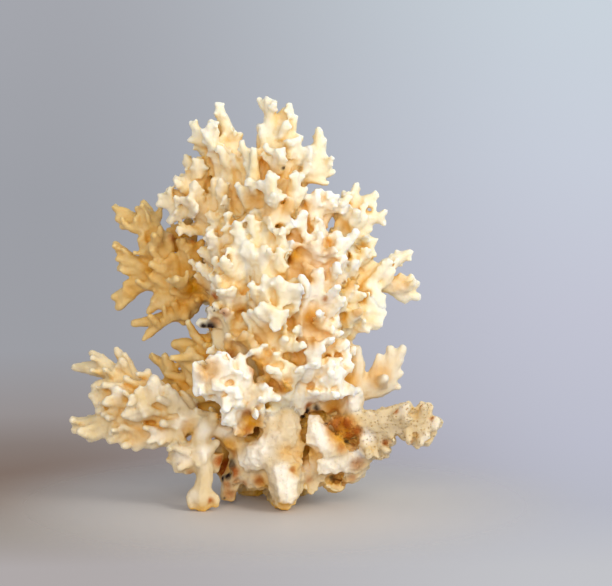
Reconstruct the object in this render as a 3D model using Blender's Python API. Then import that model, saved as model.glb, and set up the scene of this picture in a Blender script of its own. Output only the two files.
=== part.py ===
"""Branching coral: a dried colony, cut off flat where it grew and standing on that cut.

The skeleton is one grown piece. It is split here at its main forks, one object per limb.
Lengths in the limb tables are millimetres, the finished objects are in metres.
World: X to the viewer's right, Y away from the viewer, Z up, origin in the middle of the cut.
"""
import math

import bmesh
import bpy
from mathutils import Vector

for old in list(bpy.data.objects):
    bpy.data.objects.remove(old, do_unlink=True)

MM = 0.001

# How the limb tables are read: across and up on the front of the colony as it is seen from
# slightly above, and how far the spot stands towards the viewer.
EYE_ELEVATION = math.radians(6.0)
EYE_DISTANCE = 900.0
EYE_AIM_ACROSS = 11.26
EYE_AIM_UP = 75.91

# Sizes of the making
FUSE_CELL = 0.62          # grain at which the runs of one limb grow together
SMOOTH_ROUNDS = 5
FORK_GAP = 0.36           # air left between two limbs at a fork
TRIANGLES_IN_ALL = 7000
COLONY_BOX = 400.0        # larger than the colony, for the flat cut
MERGE = 0.00002           # points nearer than this, in metres, are one point
SHARED_ALLOWED = 0.003    # cubic mm two limbs may share before a cut counts as failed


def seen(across, up, toward):
    """World point, in mm, that shows at (across, up) and stands `toward` nearer to the viewer."""
    lift = math.sin(EYE_ELEVATION)
    level = math.cos(EYE_ELEVATION)
    eye = Vector((EYE_AIM_ACROSS,
                  EYE_AIM_UP * lift - EYE_DISTANCE * level,
                  EYE_AIM_UP * level + EYE_DISTANCE * lift))
    plane_point = Vector((across, up * lift, up * level))
    sight = plane_point - eye
    return eye + sight * ((-toward - eye.y) / sight.y)


# One table per limb. Each row is a run of the skeleton from its root to its tip:
# (across, up, toward, radius) in mm.
LIMBS = {}

# The lump the colony grew from, with its feet, its chalky front and the broken wedge.
LIMBS["holdfast"] = [
    [(-2, 12, -4, 9), (0, 15, 0, 12), (3, 24, 0, 10.5), (4, 35, 1, 8)],
    [(-17, 0.5, 4, 2.6), (-16.5, 5, 4, 3.2), (-14.5, 10, 5, 5), (-10, 16, 6, 7)],
    [(-10, 9, 6, 4.6), (-5, 9, 9, 5)],
    [(-11, 15, 10, 5), (-4, 18, 14, 6.5), (3, 24, 14, 6.5), (4, 31, 13, 5)],
    [(3.6, -0.8, 21, 3.2), (4.4, 4, 20, 4.6), (3, 12, 17, 6.5)],
    [(3, 0, 18, 3.2), (2.4, 1, 8, 3.8), (1.6, 2, -4, 4.6), (1, 6, -10, 6)],
    [(8.5, 6, 12, 2.8), (7, 10, 12, 5)],
    [(13.4, 4.6, 8, 3), (13, 12, 7, 6)],
    [(7, 1, -18, 4.4), (7, 10, -14, 7), (6, 18, -8, 9)],
    [(-9, 2, -18, 4.4), (-8, 10, -13, 7), (-5, 18, -8, 9)],
    [(-16, 10, -6, 5), (-19.5, 14, -5, 3.6), (-20, 20, -2, 4)],
    [(13, 18, 7, 8), (22, 17.5, 8, 7.5), (29, 18, 7, 5.5), (33, 17, 6, 3.6)],
    [(18, 12, 6, 5), (22, 6.6, 4, 3.8)],
    [(24, 12, 6, 5.4), (29, 10.6, 5, 3.6), (33.8, 15.4, 5, 1.8)],
    [(33.5, 20.5, 10, 2.4), (33.5, 25.5, 10, 2.2)],
    [(14.5, 31, 14, 1.6), (15, 26, 15, 4), (18, 21, 14, 5)],
    [(-9, 19, 6, 6), (-17, 25, 7, 5)],
    [(6, 28, 2, 9), (16, 31, 1, 7)],
]

# Blocks of the base with its flat broken faces, each given by its corners: (across, up, toward) in mm.
# First the front foot, then the chalky body left of it, the wedge, the ledge right of the foot, the small lobe
# and the lip under the ledge, and the blob at the end of the ledge.
SLABS = {"holdfast": [
    [(-0.2, -1.6, 18), (6.8, -1.8, 18), (3.4, -1, 20), (-3.2, 5, 15), (10.9, 5.2, 13), (8.6, 10, 15),
     (-0.6, 13.6, 16),
     (4.4, 14.6, 19), (3.4, 4, 21), (1, -0.4, 8), (7, -0.4, 8), (4, 12, 6)],
    [(-14.6, 19, 9), (-14.8, 12.4, 9), (-13, 10.2, 10), (-5, 10, 13), (-2, 6.4, 14), (0, 14, 17),
     (-4, 20, 17),
     (-9, 22.4, 15), (-12.4, 21.4, 11), (2, 21, 17), (-12, 14, 0), (0, 12, 2)],
    [(12.2, 32.2, 14), (16, 32.2, 14), (17.6, 28.8, 15), (22, 25.4, 16), (26.6, 20, 15), (20.6, 18.6, 18),
     (10.8, 21, 19), (10.8, 26, 17), (13, 30, 8), (17, 27, 8), (24, 21, 7), (13, 20, 8)],
    [(14.4, 15, 18), (20, 18.4, 18), (28, 19.4, 15), (34, 17.4, 12), (36.6, 15.2, 10), (33.4, 13, 11),
     (31, 10.4, 11),
     (19, 10.2, 15), (15.4, 9.6, 16), (18, 13, 2), (30, 14, 2)],
    [(10.6, 8, 13), (11, 3, 12), (13, 2, 12), (16, 4, 11), (16.4, 8.4, 11), (13, 11, 13), (13, 6, 5)],
    [(16.8, 7, 11), (19.6, 4.4, 12), (22.6, 3, 12), (25, 3.6, 11), (25.8, 5.6, 10), (21, 7.4, 9),
     (23, 9, 2),
     (19, 9, 3)],
    [(-3, 22, 16), (3, 27, 15), (10.4, 26, 15), (11, 20, 18.4), (10, 13, 17.6), (2, 12, 18), (-3, 14, 17),
     (5, 18, 20), (4, 20, 6)],
    [(31.2, 26.4, 12), (34, 27.4, 12), (35, 24, 12), (34.4, 20.4, 11), (31.6, 20, 11), (31, 23, 13.4),
     (34, 22, 13),
     (33, 24, 5)],
]}

# The thin leg left of the base, with a splayed foot of its own.
LIMBS["left_stilt"] = [
    [(-17, 26, 8, 4.4), (-24, 27, 10, 4), (-27, 23, 12, 3.6), (-26.4, 17, 13, 3.4), (-25.4, 10, 14, 3.2),
     (-26.2, 6, 15, 3.2), (-26.4, 1, 16, 4.6)],
    [(-27, 4.5, 15, 3), (-30.6, 1.6, 16, 2), (-30, -1, 17, 1.8)],
    [(-25, 3, 15, 3), (-21.6, 0.4, 17, 1.8), (-21.4, -1, 17, 1.4)],
    [(-28, 19, 12, 3.6), (-34, 18, 11, 3.6), (-37.4, 18, 10, 2)],
    [(-29, 15, 12, 3), (-34, 15, 11.5, 3.6), (-38.8, 15.2, 11, 1.3)],
    [(-31, 14.5, 12, 3), (-36, 11.6, 12, 1.4)],
    [(-29, 14, 12, 2.8), (-32, 11.4, 12, 2)],
    [(-25, 18, 13, 2.2), (-21, 21.6, 15, 1.5)],
    [(-24, 27, 11, 3.2), (-22, 31, 15, 2)],
    [(-22, 18, 9, 3.6), (-22, 12, 9, 2.2)],
]

# Arm reaching out low on the left, ending in blunt fingers.
LIMBS["low_left_arm"] = [
    [(-22, 28, 8, 4.6), (-30, 29.5, 8, 4.7), (-38, 32, 8, 5), (-47, 35.5, 7, 5.2), (-54, 38.5, 6, 4.4),
     (-59, 41, 5, 3.6)],
    [(-52, 40, 6, 3.6), (-58, 46, 4, 3.2), (-62.5, 50.6, 2, 2.6), (-66.5, 54.2, 0, 1.5)],
    [(-58, 46.5, 2, 3), (-66, 48.6, 0, 2.8), (-72.6, 49, -2, 1.6)],
    [(-48.6, 39, 5, 3.4), (-52, 46, 2, 3), (-54.6, 50.5, 1, 2.2), (-57.7, 55.5, 0, 1.3)],
    [(-52.5, 48, 1, 2.2), (-54.6, 53.4, 2, 1.3)],
    [(-46, 40, 8, 2.8), (-46.3, 47.6, 9, 1.4)],
    [(-57, 42, 6, 3.2), (-65.6, 42, 6, 1.8)],
    [(-57, 39.5, 7, 3), (-66.3, 38.5, 8, 1.8)],
    [(-56, 38, 7, 3), (-65, 36, 9, 1.7)],
    [(-54, 38, 9, 3), (-57.5, 40, 12.5, 2)],
    [(-31, 31, 8, 3.6), (-34.6, 36, 8, 2)],
    [(-38, 36, 7, 3.4), (-41, 40, 8, 2.4)],
    [(-48, 32.5, 8, 4.4), (-56, 30.5, 8, 4), (-64, 28.6, 7, 3.6), (-70, 28.4, 6, 3), (-73.6, 29.8, 6, 1.6)],
    [(-65, 28, 7, 3), (-72.8, 26, 7, 1.8)],
    [(-59, 27.6, 8, 3.6), (-67.4, 23, 9, 1.8)],
    [(-55, 28, 8, 4), (-59.4, 23, 10, 2.2)],
    [(-49, 25.4, 8, 4), (-55, 22, 9, 2.2)],
    [(-57, 33, 9, 2.2), (-64.4, 33, 10, 1.3)],
    [(-42, 35, 10, 3.6), (-44, 44, 14, 1.9)],
    [(-38, 33, 10, 3.2), (-38.7, 40.6, 14, 1.7)],
    [(-45, 33, 10, 3.8), (-49, 32, 14.5, 2.6)],
    [(-33, 26, 9, 4.8), (-40, 24.2, 9, 4.2), (-47, 24, 8, 4), (-53, 26, 8, 3.4)],
    [(-43, 24, 9, 3.6), (-44, 21.2, 10, 2.4)],
    [(-48, 23, 9, 3.4), (-50.4, 20, 10, 2)],
    [(-36, 23.6, 10, 3), (-38, 21.6, 11, 1.8)],
    [(-40, 32, 4, 3.6), (-44, 33, -7, 2.6), (-47, 34, -15, 1.6)],
    [(-52, 38, 4, 3.2), (-55, 40, -6, 2.4), (-57, 43, -13, 1.5)],
    [(-46, 33, 10, 3), (-51, 37, 17, 2.2), (-52, 38, 21, 1.5)],
]

# Honey coloured fan behind, and pale fan before it, left of the middle.
LIMBS["low_left_fan"] = [
    [(-7, 31, 3, 6), (-16, 34, -2, 5), (-24, 37, -3, 4.2), (-31, 41, -4, 4), (-36.6, 45.6, -5, 3.2),
     (-41, 50.3, -6, 2.2),
     (-44.8, 53, -6, 1.3)],
    [(-37, 47, -4, 2.4), (-40, 53.2, -3, 1.4)],
    [(-22, 38, 0, 4), (-25.5, 47, 3, 3.8), (-27.5, 54, 4, 3.2), (-26.5, 59.6, 4, 2)],
    [(-27, 50, 4, 3), (-30.6, 54.6, 7, 2.4)],
    [(-26, 55, 2, 3), (-32, 57, 1, 2.8), (-36.2, 57.2, 0, 2.2)],
    [(-27, 51, 1, 2.6), (-33, 55, 0, 2)],
    [(-23, 46, 0, 4), (-21.5, 53, 1, 4), (-22.4, 58, 1, 2.6), (-24, 60.4, 2, 1.6)],
    [(-18, 44, 0, 5), (-17, 54, 0, 4.4), (-18.4, 61, 0, 2.2)],
    [(-28, 44, 2, 3.4), (-33.4, 51, 0, 2.2)],
    [(-30, 41, -4, 3), (-33, 44, -14, 2.2), (-34, 46, -20, 1.5)],
]

# White cluster low on the front, left of the middle.
LIMBS["front_left_cluster"] = [
    [(-9, 28, 13, 4.8), (-15, 36, 20, 4.8), (-18.6, 43, 25, 4.2), (-20, 48, 28, 2.8)],
    [(-21, 43, 27, 2.8), (-28.6, 48.2, 30, 1.4)],
    [(-20, 45, 28, 2.1), (-23.3, 52, 30, 1.4)],
    [(-19.8, 46, 28, 2.1), (-20.2, 53.3, 29, 1.3)],
    [(-17.5, 45, 28, 2.1), (-17, 52, 30, 1.3)],
    [(-14, 41, 26, 2.8), (-12.3, 52, 28, 1.8)],
    [(-12, 38, 24, 2.8), (-9.4, 47.5, 28, 1.6)],
    [(-21, 42, 26, 2.6), (-27.8, 39.8, 29, 1.5)],
    [(-17, 40, 25, 2.6), (-17.5, 34.2, 30, 1.5)],
    [(-10, 37, 21, 3), (-4, 38.3, 27, 2.2), (0.6, 38, 30, 1.5)],
    [(-12, 30, 16, 3.2), (-17.6, 29.8, 22, 2)],
    [(-9, 40, 22, 2.4), (-3.8, 42, 29, 1.4)],
]

# Tall arm on the left with the honey coloured fingers.
LIMBS["upper_left_arm"] = [
    [(-14, 68, 4, 5.4), (-21, 76.4, -1, 4.6), (-29, 77.4, -5, 4.8), (-35, 79.4, -6, 4.8),
     (-39.8, 86, -6, 3.8),
     (-42, 94, -6, 3.3), (-44, 101, -6, 2.5), (-47.8, 108.6, -7, 1.3)],
    [(-43.5, 99, -5, 2.4), (-50, 106.6, -4, 1.5)],
    [(-43, 97, -6, 2.6), (-48.6, 101, -7, 2.8), (-54, 104.4, -8, 2.4), (-59, 107.2, -9, 1.1)],
    [(-50, 101.6, -7, 2), (-57, 103, -7, 1.5)],
    [(-45, 98.6, -6, 2.4), (-51, 100.2, -5, 2), (-55.6, 100, -5, 1.4)],
    [(-41, 91, -6, 3), (-46, 92, -5, 2.8), (-49.4, 95.2, -3, 1.3)],
    [(-41, 89, -6, 3), (-47, 91, -6, 2.2)],
    [(-40, 84, -6, 3.6), (-47, 84.4, -7, 2.8), (-52.4, 88.6, -8, 2.2), (-58.2, 94.2, -8, 1.2)],
    [(-50, 87, -7, 2), (-57, 88.2, -6, 1.4)],
    [(-47, 83.8, -7, 2.4), (-56.5, 85, -8, 1.5)],
    [(-35, 77.6, -6, 4.2), (-43, 79.4, -7, 3.4), (-50, 79.4, -7, 2.6), (-54, 79.2, -7, 1.6)],
    [(-48, 78.8, -7, 2.4), (-53, 76.4, -8, 2.6), (-58.6, 74.4, -9, 1.5)],
    [(-52, 76, -8, 2.6), (-56.6, 71, -9, 1.8)],
    [(-31, 70.5, -5, 3.8), (-41, 66.8, -6, 2.5), (-51.2, 64.9, -6, 1.5)],
    [(-36, 68.6, -4, 2.8), (-42.4, 64.4, -3, 2), (-47.7, 59, -2, 1.1)],
    [(-36, 74, -4, 3), (-41.5, 73, -3, 2.2), (-45.8, 69, -2, 1.3)],
    [(-31, 73, -5, 4.2), (-33, 65.4, -5, 1.8)],
    [(-35.5, 78, -8, 3.4), (-33, 86, -11, 2.2), (-32, 94, -12, 3), (-31.4, 101.6, -12, 2)],
    [(-33, 91, -11, 2.6), (-35.4, 99, -11, 2.4)],
    [(-31, 92, -12, 2.6), (-29.6, 97, -12, 1.8)],
    [(-40, 88, -8, 2.2), (-38, 95, -10, 2), (-38.4, 99, -10, 1.3)],
    [(-30, 80, -4, 3.4), (-31.5, 88, -3, 2.8), (-35.3, 94.8, -1, 1.2)],
    [(-31, 87, -3, 2.4), (-32.5, 95.5, -1, 1.1)],
    [(-28, 84, -3, 3), (-28.4, 90, -2, 2.2), (-26.4, 94.4, -1, 1.2)],
    [(-34, 79, -8, 3.6), (-38, 82, -17, 2.8), (-41, 86, -24, 1.7)],
    [(-40, 86, -7, 2.8), (-44, 91, -14, 2.2), (-45, 97, -19, 1.5)],
    [(-30, 77, -4, 3.2), (-34, 79, 6, 2.4), (-36, 81, 12, 1.6)],
    [(-42, 93, -4, 2.2), (-44, 97, 4, 1.5)],
]

# Shoulder between the left arm and the left crown.
LIMBS["left_shoulder"] = [
    [(-15, 101, 4, 4.4), (-23, 105, 4, 4), (-31, 107, 4, 3.4), (-38, 108.2, 4, 2), (-41.4, 108.2, 4, 1.5)],
    [(-37, 108.6, 4, 2), (-41, 111, 4, 1.3)],
    [(-33, 106, 5, 3), (-37.6, 102.4, 6, 1.7)],
    [(-26, 106, 4, 4), (-29, 113, 3, 3.6), (-30, 119, 2, 3), (-32, 124.8, 2, 1.3)],
    [(-29, 118, 3, 2.8), (-27.6, 124, 4, 1.7)],
    [(-23, 108, -1, 3.4), (-24.6, 117, -2, 2.8), (-25.2, 124, -3, 1.8)],
    [(-30, 114.4, 3, 2.4), (-35.4, 117.2, 4, 1.5)],
    [(-31, 110, 3, 2.2), (-38.6, 113.2, 3, 1.1)],
    [(-18, 104, 8, 2.2), (-20.4, 113.4, 11, 1.3)],
    [(-21, 99, 2, 4), (-27.6, 100, 2, 2.8)],
    [(-17, 88, 4, 4), (-22.6, 89.4, 3, 2.4)],
    [(-24, 106, 2, 3), (-29, 108, -10, 2.2), (-31, 111, -16, 1.5)],
    [(-30, 107, 6, 2.4), (-31, 110, 13, 1.6)],
]

# Crown on the left: a broad smooth blade with fingers at its head.
LIMBS["left_crown"] = [
    [(-15, 99, 8, 4.4), (-15, 108, 6, 5), (-15.6, 117, 4, 5.2), (-16, 124, 3, 4.8), (-16.2, 130, 2, 3.6),
     (-18, 136, 2, 2.6), (-20.3, 143.4, 2, 1.7)],
    [(-19, 117, 3, 3.4), (-20.5, 124, 3, 3), (-22.6, 131, 7, 2.6), (-23.2, 137, 8, 1.5)],
    [(-15, 127, 3, 2.6), (-13, 133, 4, 1.3)],
    [(-21, 128.6, 3, 2.4), (-27, 134.2, 3, 1.6), (-30.2, 137.4, 2, 1.1)],
    [(-22, 130, 3, 2.2), (-30.6, 131.4, 3, 1.3)],
    [(-7, 104, 14, 3.4), (-7.5, 116, 15, 2.8), (-9, 123, 14, 2.3), (-12, 130, 13, 1.3)],
    [(-8, 119, 15, 2.2), (-7.8, 127.6, 17, 1.3)],
    [(-9, 107, 15, 2.6), (-13.3, 114.7, 15, 1.4)],
    [(-11, 112, 6, 4), (-9.6, 119, 7, 3.6), (-9.8, 126, 7, 2.6)],
    [(-15, 116, 2, 3.4), (-17, 122, -8, 2.4), (-18, 129, -12, 1.6)],
]

# Limbs that carry the middle of the colony.
LIMBS["centre_left_limb"] = [
    [(-3, 35, 6, 6.4), (-9.5, 48, 10, 6), (-13, 61, 12, 5.8), (-15, 74, 12, 5.6), (-15.5, 88, 11, 5.2),
     (-15, 99, 9, 4.6)],
    [(-16, 71, 15, 2.8), (-20.4, 80.8, 21, 1.9)],
    [(-15, 78, 17, 2.8), (-15, 86, 20, 2.5), (-16.4, 92, 20, 1.7)],
    [(-13, 86, 15, 2.8), (-12, 94, 19, 2.2), (-14, 100.3, 19, 1.6)],
    [(-13, 71, 17, 2.8), (-15, 77, 22, 1.9)],
    [(-18, 86, 11, 3.4), (-22, 93, 11, 2.4), (-23.3, 98, 12, 1.6)],
    [(-17, 82, 8, 3.6), (-24, 82, 4, 3.2), (-28, 79, 0, 3)],
    [(-17, 84, 6, 4.4), (-22.6, 88, 4, 3)],
    [(-14, 67, 13, 3.2), (-20, 69, 13, 2.9), (-22.6, 69.3, 13, 2)],
    [(-14, 65.4, 11, 2.8), (-20, 65, 11, 2.2), (-26.2, 65, 11, 1.8)],
    [(-13, 56, 9, 4), (-14.5, 58, 12, 2.8)],
    [(-10, 55, 14, 3), (-9.6, 56.8, 22, 1.7)],
    [(-10, 49, 10, 5), (-5, 47, 12, 5.2), (0, 46, 13, 4.6)],
    [(-14, 62, 12, 4.8), (-7, 62, 14, 5), (-1, 61, 16, 4.6)],
    [(-15, 74, 12, 4.6), (-8, 76, 14, 5), (-3, 77, 17, 4.4)],
    [(-15.5, 87, 11, 4.4), (-9, 86, 14, 4.6), (-3, 87, 17, 4)],
    [(-15, 98, 9, 4), (-9, 98, 12, 4.4), (-3, 98, 15, 4)],
]

LIMBS["centre_limb"] = [
    [(1, 33, 8, 7), (0, 47, 14, 6.8), (-1, 60, 18, 6.4), (-2, 74, 20, 6), (-2.6, 88, 19, 5.4),
     (-3, 100, 15, 4.8)],
    [(-3, 68, 24, 2.6), (2, 66, 29, 2.3), (0, 64, 31, 1.8)],
    [(2, 69, 23, 3.2), (4.6, 76.6, 28, 2)],
    [(0, 74, 23, 2.8), (2, 79.8, 29, 1.9)],
    [(1, 81, 22, 3), (2, 90.5, 26, 1.8)],
    [(0, 89, 20, 2.6), (2.7, 98.2, 24, 1.4)],
    [(-4, 78, 22, 2.8), (-3.6, 91.6, 24, 1.9)],
    [(-5, 84, 20, 2.6), (-8.5, 92.3, 23, 1.6)],
    [(-5, 97, 18, 2.4), (-8, 103.2, 20, 1.5)],
    [(0, 50, 20, 3.4), (0.6, 53.2, 27, 1.6)],
    [(-3, 51, 20, 2.8), (-6, 54.3, 27, 1.5)],
    [(0, 46, 19, 3), (-3.2, 48.6, 27, 1.4)],
    [(2, 41, 17, 3.4), (1.2, 46.6, 28, 1.8)],
    [(4, 41, 18, 3), (7.4, 47.8, 27, 1.7)],
    [(2, 56, 21, 3), (3.6, 59.4, 28, 1.5)],
]

LIMBS["centre_crown"] = [
    [(-3, 97, 14, 4.8), (-1, 110, 12, 4.6), (0, 118, 10, 4.4), (0, 126, 9, 3.8), (-1.4, 133, 8, 2.8),
     (-1.7, 139, 8, 2.3), (-2.7, 145.8, 8, 1.6)],
    [(-1.5, 141, 8, 1.8), (-0.8, 144.9, 9, 1.3)],
    [(-3, 142, 7, 1.5), (-5.6, 145.8, 6, 1)],
    [(-2, 125, 9, 3), (-4.9, 135.8, 9, 1.4)],
    [(-3, 116, 4, 3.4), (-5, 127, 3, 2.2), (-5.2, 135, 3, 1.1)],
    [(2, 118, 9, 3.6), (4.4, 128, 9, 3.4), (5, 136, 8, 2.4), (5.3, 143.6, 8, 1.4)],
    [(2, 130, 8, 2.8), (2, 138, 7, 1.9), (3.2, 142, 6, 1.3)],
    [(5, 133, 8, 2), (7.4, 139.4, 9, 1.3)],
    [(5, 128, 9, 2.4), (9, 131.6, 10, 1.3)],
    [(4.5, 124, 9, 2.8), (8.6, 127.6, 10, 1.6)],
    [(4, 112, 8, 4), (7, 120, 7, 2.8), (8.4, 124, 7, 2)],
    [(0, 101, 19, 3.4), (-1, 108, 20, 3), (-2, 119, 20, 1.4)],
    [(4, 104, 16, 2.6), (7.2, 119, 18, 1.2)],
    [(-4, 103, 16, 2.4), (-5, 112, 14, 2.6)],
    [(0, 122, 6, 3), (2, 128, -4, 2.2), (2.4, 135, -7, 1.5)],
    [(0, 120, 12, 3), (1.6, 127, 19, 1.8)],
]

LIMBS["centre_right_limb"] = [
    [(7, 35, 8, 6.6), (11, 48, 14, 6.4), (13, 61, 16, 6.2), (15, 74, 16, 5.8), (16, 86, 14, 5.2),
     (14.6, 97, 12, 4.6),
     (13, 106, 10, 3.8)],
    [(11, 45, 19, 3), (14, 52, 25, 2.6), (13, 58, 26, 1.9)],
    [(16, 70, 19, 3), (16.3, 83, 23, 1.6)],
    [(15.4, 84, 17, 2.8), (16, 97, 21, 1.5)],
    [(20, 82, 12, 4), (22.6, 90, 15, 3.4), (22.6, 96.6, 16, 2)],
    [(18, 88, 10, 4), (19.4, 95, 10, 2.6)],
    [(11, 73, 19, 2.8), (11.5, 78.3, 26, 1.6)],
    [(7, 94, 14, 3), (10, 102.6, 19, 1.6)],
    [(14, 96, 12, 3), (16, 101.6, 14, 1.8)],
    [(7, 85, 17, 3), (8, 93, 22, 1.5)],
    [(16, 64, 17, 3.4), (20, 62.8, 22, 1.6)],
    [(15, 41, 13, 5), (21, 45, 18, 3.8), (21, 50.4, 20, 2.6)],
    [(20, 46, 15, 3.2), (26.6, 52.6, 17, 1.4)],
    [(14, 40, 14, 3), (16.2, 39.4, 20, 1.6)],
    [(17, 53, 10, 5), (24, 55, 9, 3.4)],
    [(13, 105, 10, 3.4), (15.2, 112.4, 12, 1.5)],
    [(14, 105, 10, 3.2), (19, 110.8, 11, 1.5)],
    [(15, 105.6, 10, 3), (22, 110.4, 9, 1.3)],
    [(14, 106, 10, 3), (20, 106.6, 10, 1.7), (24.2, 106.6, 10, 1.7)],
    [(11, 100, 8, 4), (10, 107, 7, 3.6)],
    [(10, 74, 8, 5), (8, 84, 6, 4)],
    [(11, 48, 14, 5), (5, 46, 13, 5), (0, 46, 13, 4.6)],
    [(13, 61, 16, 5), (7, 59, 16, 5), (1, 58, 17, 4.6)],
    [(15, 75, 16, 4.6), (7, 74, 17, 4.6), (0, 73, 19, 4.2)],
    [(16, 83, 14, 4.4), (9, 82, 14, 4.6), (2, 82, 17, 4)],
]

LIMBS["right_crown"] = [
    [(6, 108, 5, 3.8), (9.6, 116.6, 6, 3), (12.6, 121, 7, 3.4), (15.6, 127, 6, 2.8), (16, 134, 6, 1.7)],
    [(11.4, 119, 8, 2.6), (12, 127.8, 8, 1.5)],
    [(15, 119, 7, 2.8), (19.8, 124, 7, 1.3)],
    [(15, 118.6, 7, 2.2), (20.8, 119.8, 6, 1.2)],
    [(12, 117.4, 8, 1.8), (18.6, 115.8, 9, 0.9)],
    [(17, 128, 6, 1.6), (18, 126, 7, 1)],
    [(11, 118, 5, 2.6), (14, 123, -3, 1.8), (15, 128, -6, 1.3)],
]

# Right side: a tall limb that ends in a fan, with an arm and stubby knuckles.
LIMBS["right_limb"] = [
    [(11, 39, 2, 6.8), (17, 52, 2, 6.6), (23, 66, 3, 6), (26, 76, 3, 5), (26, 84, 3, 3.8),
     (27.4, 91, 3, 3.8),
     (28.6, 97, 3, 3.8)],
    [(29, 95, 4, 2.6), (33, 95.6, 4, 1.8), (35.7, 94.4, 4, 1.4)],
    [(34, 95, 4, 1.6), (34.6, 91.6, 4, 1.6)],
    [(28, 88.6, 4, 3), (35.2, 90.2, 4, 1.5)],
    [(23, 64, 8, 4.8), (27, 71, 12, 3.2), (27, 77.6, 13, 2.2)],
    [(23, 86, 3, 4), (24.6, 94, 3, 3.4)],
    [(24, 68, 0, 4), (29, 72, -12, 2.6), (31, 77, -18, 1.6)],
    [(17, 52, 2, 5), (16, 50, 9, 5)],
    [(23, 65, 4, 5), (18, 64, 10, 5), (15, 62, 14, 4.4)],
    [(26, 76, 3, 4.2), (21, 76, 9, 4.8), (17, 75, 13, 4.4)],
    [(26, 84, 3, 3.4), (21, 85, 9, 4.2), (17, 86, 12, 4)],
]

LIMBS["upper_right_fan"] = [
    [(28.8, 94, 3, 4), (29.4, 101, 3, 4), (28, 106, 3, 3.4), (28.5, 110, 3, 2.2), (29.5, 115, 3, 1.2)],
    [(30, 98, 4, 3), (33.4, 99.4, 4, 2)],
    [(25, 97, 3, 2.8), (25.4, 103, 3, 2.8), (25, 111.8, 4, 1.3)],
    [(26.5, 103, 6, 2.6), (24.6, 107.4, 9, 2), (26.2, 110, 9, 1.5)],
    [(29, 106, 3, 3), (33.5, 109.6, 3, 2.2), (37, 111, 3, 1.3)],
    [(32, 109, 4, 2), (36.4, 107.8, 4, 1.1)],
    [(29.5, 102.2, 4, 3.6), (34.6, 103.2, 4, 2.4), (38.2, 103.4, 4, 2), (39.6, 105, 4, 1.3)],
    [(37, 103, 4, 1.9), (39.2, 101.4, 4, 1.3)],
    [(29, 100, 1, 3), (31, 102, -9, 2.2), (33, 104, -15, 1.5)],
    [(29, 101, 5, 2.8), (29.6, 105, 13, 1.7)],
]

LIMBS["right_arm"] = [
    [(26, 72.6, 3, 4.8), (31.8, 77, 3, 4), (35.6, 81.6, 3, 3.6), (40.6, 85.4, 3, 2.8), (45, 88.6, 3, 2.2),
     (48.6, 90.4, 3, 1.6)],
    [(34, 81.6, 3, 2.8), (34.6, 86, 3, 1.7)],
    [(39, 84.6, 3, 2.2), (40, 87, 4, 1.3)],
    [(29, 85.6, 3, 2), (34, 86, 3, 1.2)],
    [(36, 80, 3, 3.4), (42, 79, 2, 3.2), (46, 78.6, 1, 3), (49.2, 81, 0, 1.5)],
    [(45, 77.6, 1, 3), (51, 79, 0, 1.5)],
    [(44, 77.8, 1, 3), (51, 74.6, 0, 1.7)],
    [(43, 78, 1, 3), (47.2, 73.6, 0, 1.8)],
    [(34.6, 81, 5, 2.8), (36, 76.6, 7, 2.4), (38.8, 72, 8, 1.6)],
    [(36, 80, 2, 2.8), (40, 79, -8, 2), (42, 79.6, -14, 1.4)],
]

LIMBS["right_knuckles"] = [
    [(22, 63, 6, 4.6), (28, 67, 8, 4.2), (33, 69.4, 8, 3.4), (39.2, 68.6, 9, 1.2)],
    [(30, 66.4, 8, 3.4), (37.8, 65, 10, 1.8)],
    [(29, 65.6, 8, 3), (35.8, 63.6, 9, 1.3)],
    [(28, 65, 8, 2.8), (33.2, 62.4, 11, 1.3)],
    [(22, 63, 8, 3.4), (25, 61.2, 10, 1.7)],
    [(29, 69, 8, 3.6), (34.6, 72.4, 9, 2)],
]

LIMBS["right_blade"] = [
    [(17, 36, 7, 5), (25, 40, 8, 4.8), (29, 46, 7, 3.6), (29.8, 55.4, 6, 1.9)],
    [(24, 55, 8, 2.6), (29.4, 55.4, 7, 1.8)],
    [(26, 40, 7, 4.4), (35, 41.4, 6, 4), (40, 43, 5, 3.8), (41.8, 49, 5, 3.2), (42, 55.8, 5, 1.6)],
    [(42.6, 49, 5, 2.8), (46.6, 56, 5, 1.6)],
    [(36, 43.6, 6, 3), (38, 52.8, 6, 1.4)],
    [(41.4, 47, 5, 2.6), (45.8, 51.6, 5, 1.3)],
    [(41.4, 45, 5, 2.6), (45.8, 47, 5, 1.4)],
    [(39.4, 42.4, 5, 2.8), (45, 41.8, 5, 1.3)],
    [(25, 33, 9, 4), (29.2, 37, 12, 3.6), (30, 40.2, 13, 2.4)],
    [(34, 42, 4, 3), (38, 44, -7, 2.2), (40, 46, -13, 1.5)],
    [(38, 43, 7, 2.8), (40, 45, 15, 1.6)],
]

LIMBS["low_right_arm"] = [
    [(19, 25, 8, 5.6), (29, 28.5, 12, 5), (38, 29, 14, 4.6), (46, 29.2, 15, 5), (52, 28.8, 15, 4.6),
     (56.6, 28.2, 15, 3)],
    [(38, 31, 15, 3), (47.6, 34.4, 16, 2)],
    [(51, 30, 15, 3), (53.5, 34.8, 15, 1.6)],
    [(53, 30, 15, 2.8), (56, 34.2, 15, 1.5)],
    [(54, 29.4, 15, 3), (58.8, 28.8, 15, 2.2)],
    [(52, 27, 15, 3.2), (56.6, 25, 15, 1.8)],
    [(50, 26, 15, 3.4), (54.8, 22, 15, 1.8)],
    [(47.5, 26, 15, 3.4), (51, 21.4, 15, 2)],
    [(39, 26, 14, 3.6), (42.6, 22, 14, 1.6)],
    [(31, 24, 12, 4.4), (37, 20.6, 12, 3.2), (40.6, 18.4, 12, 1.6)],
    [(30, 20, 11, 3.6), (38.4, 16.5, 12, 1.5)],
    [(44, 29, 12, 3.4), (47.4, 30, 6, 2.4), (49, 31, 1, 1.6)],
    [(46, 29, 18, 3), (48, 30, 22.5, 1.8)],
]

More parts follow.
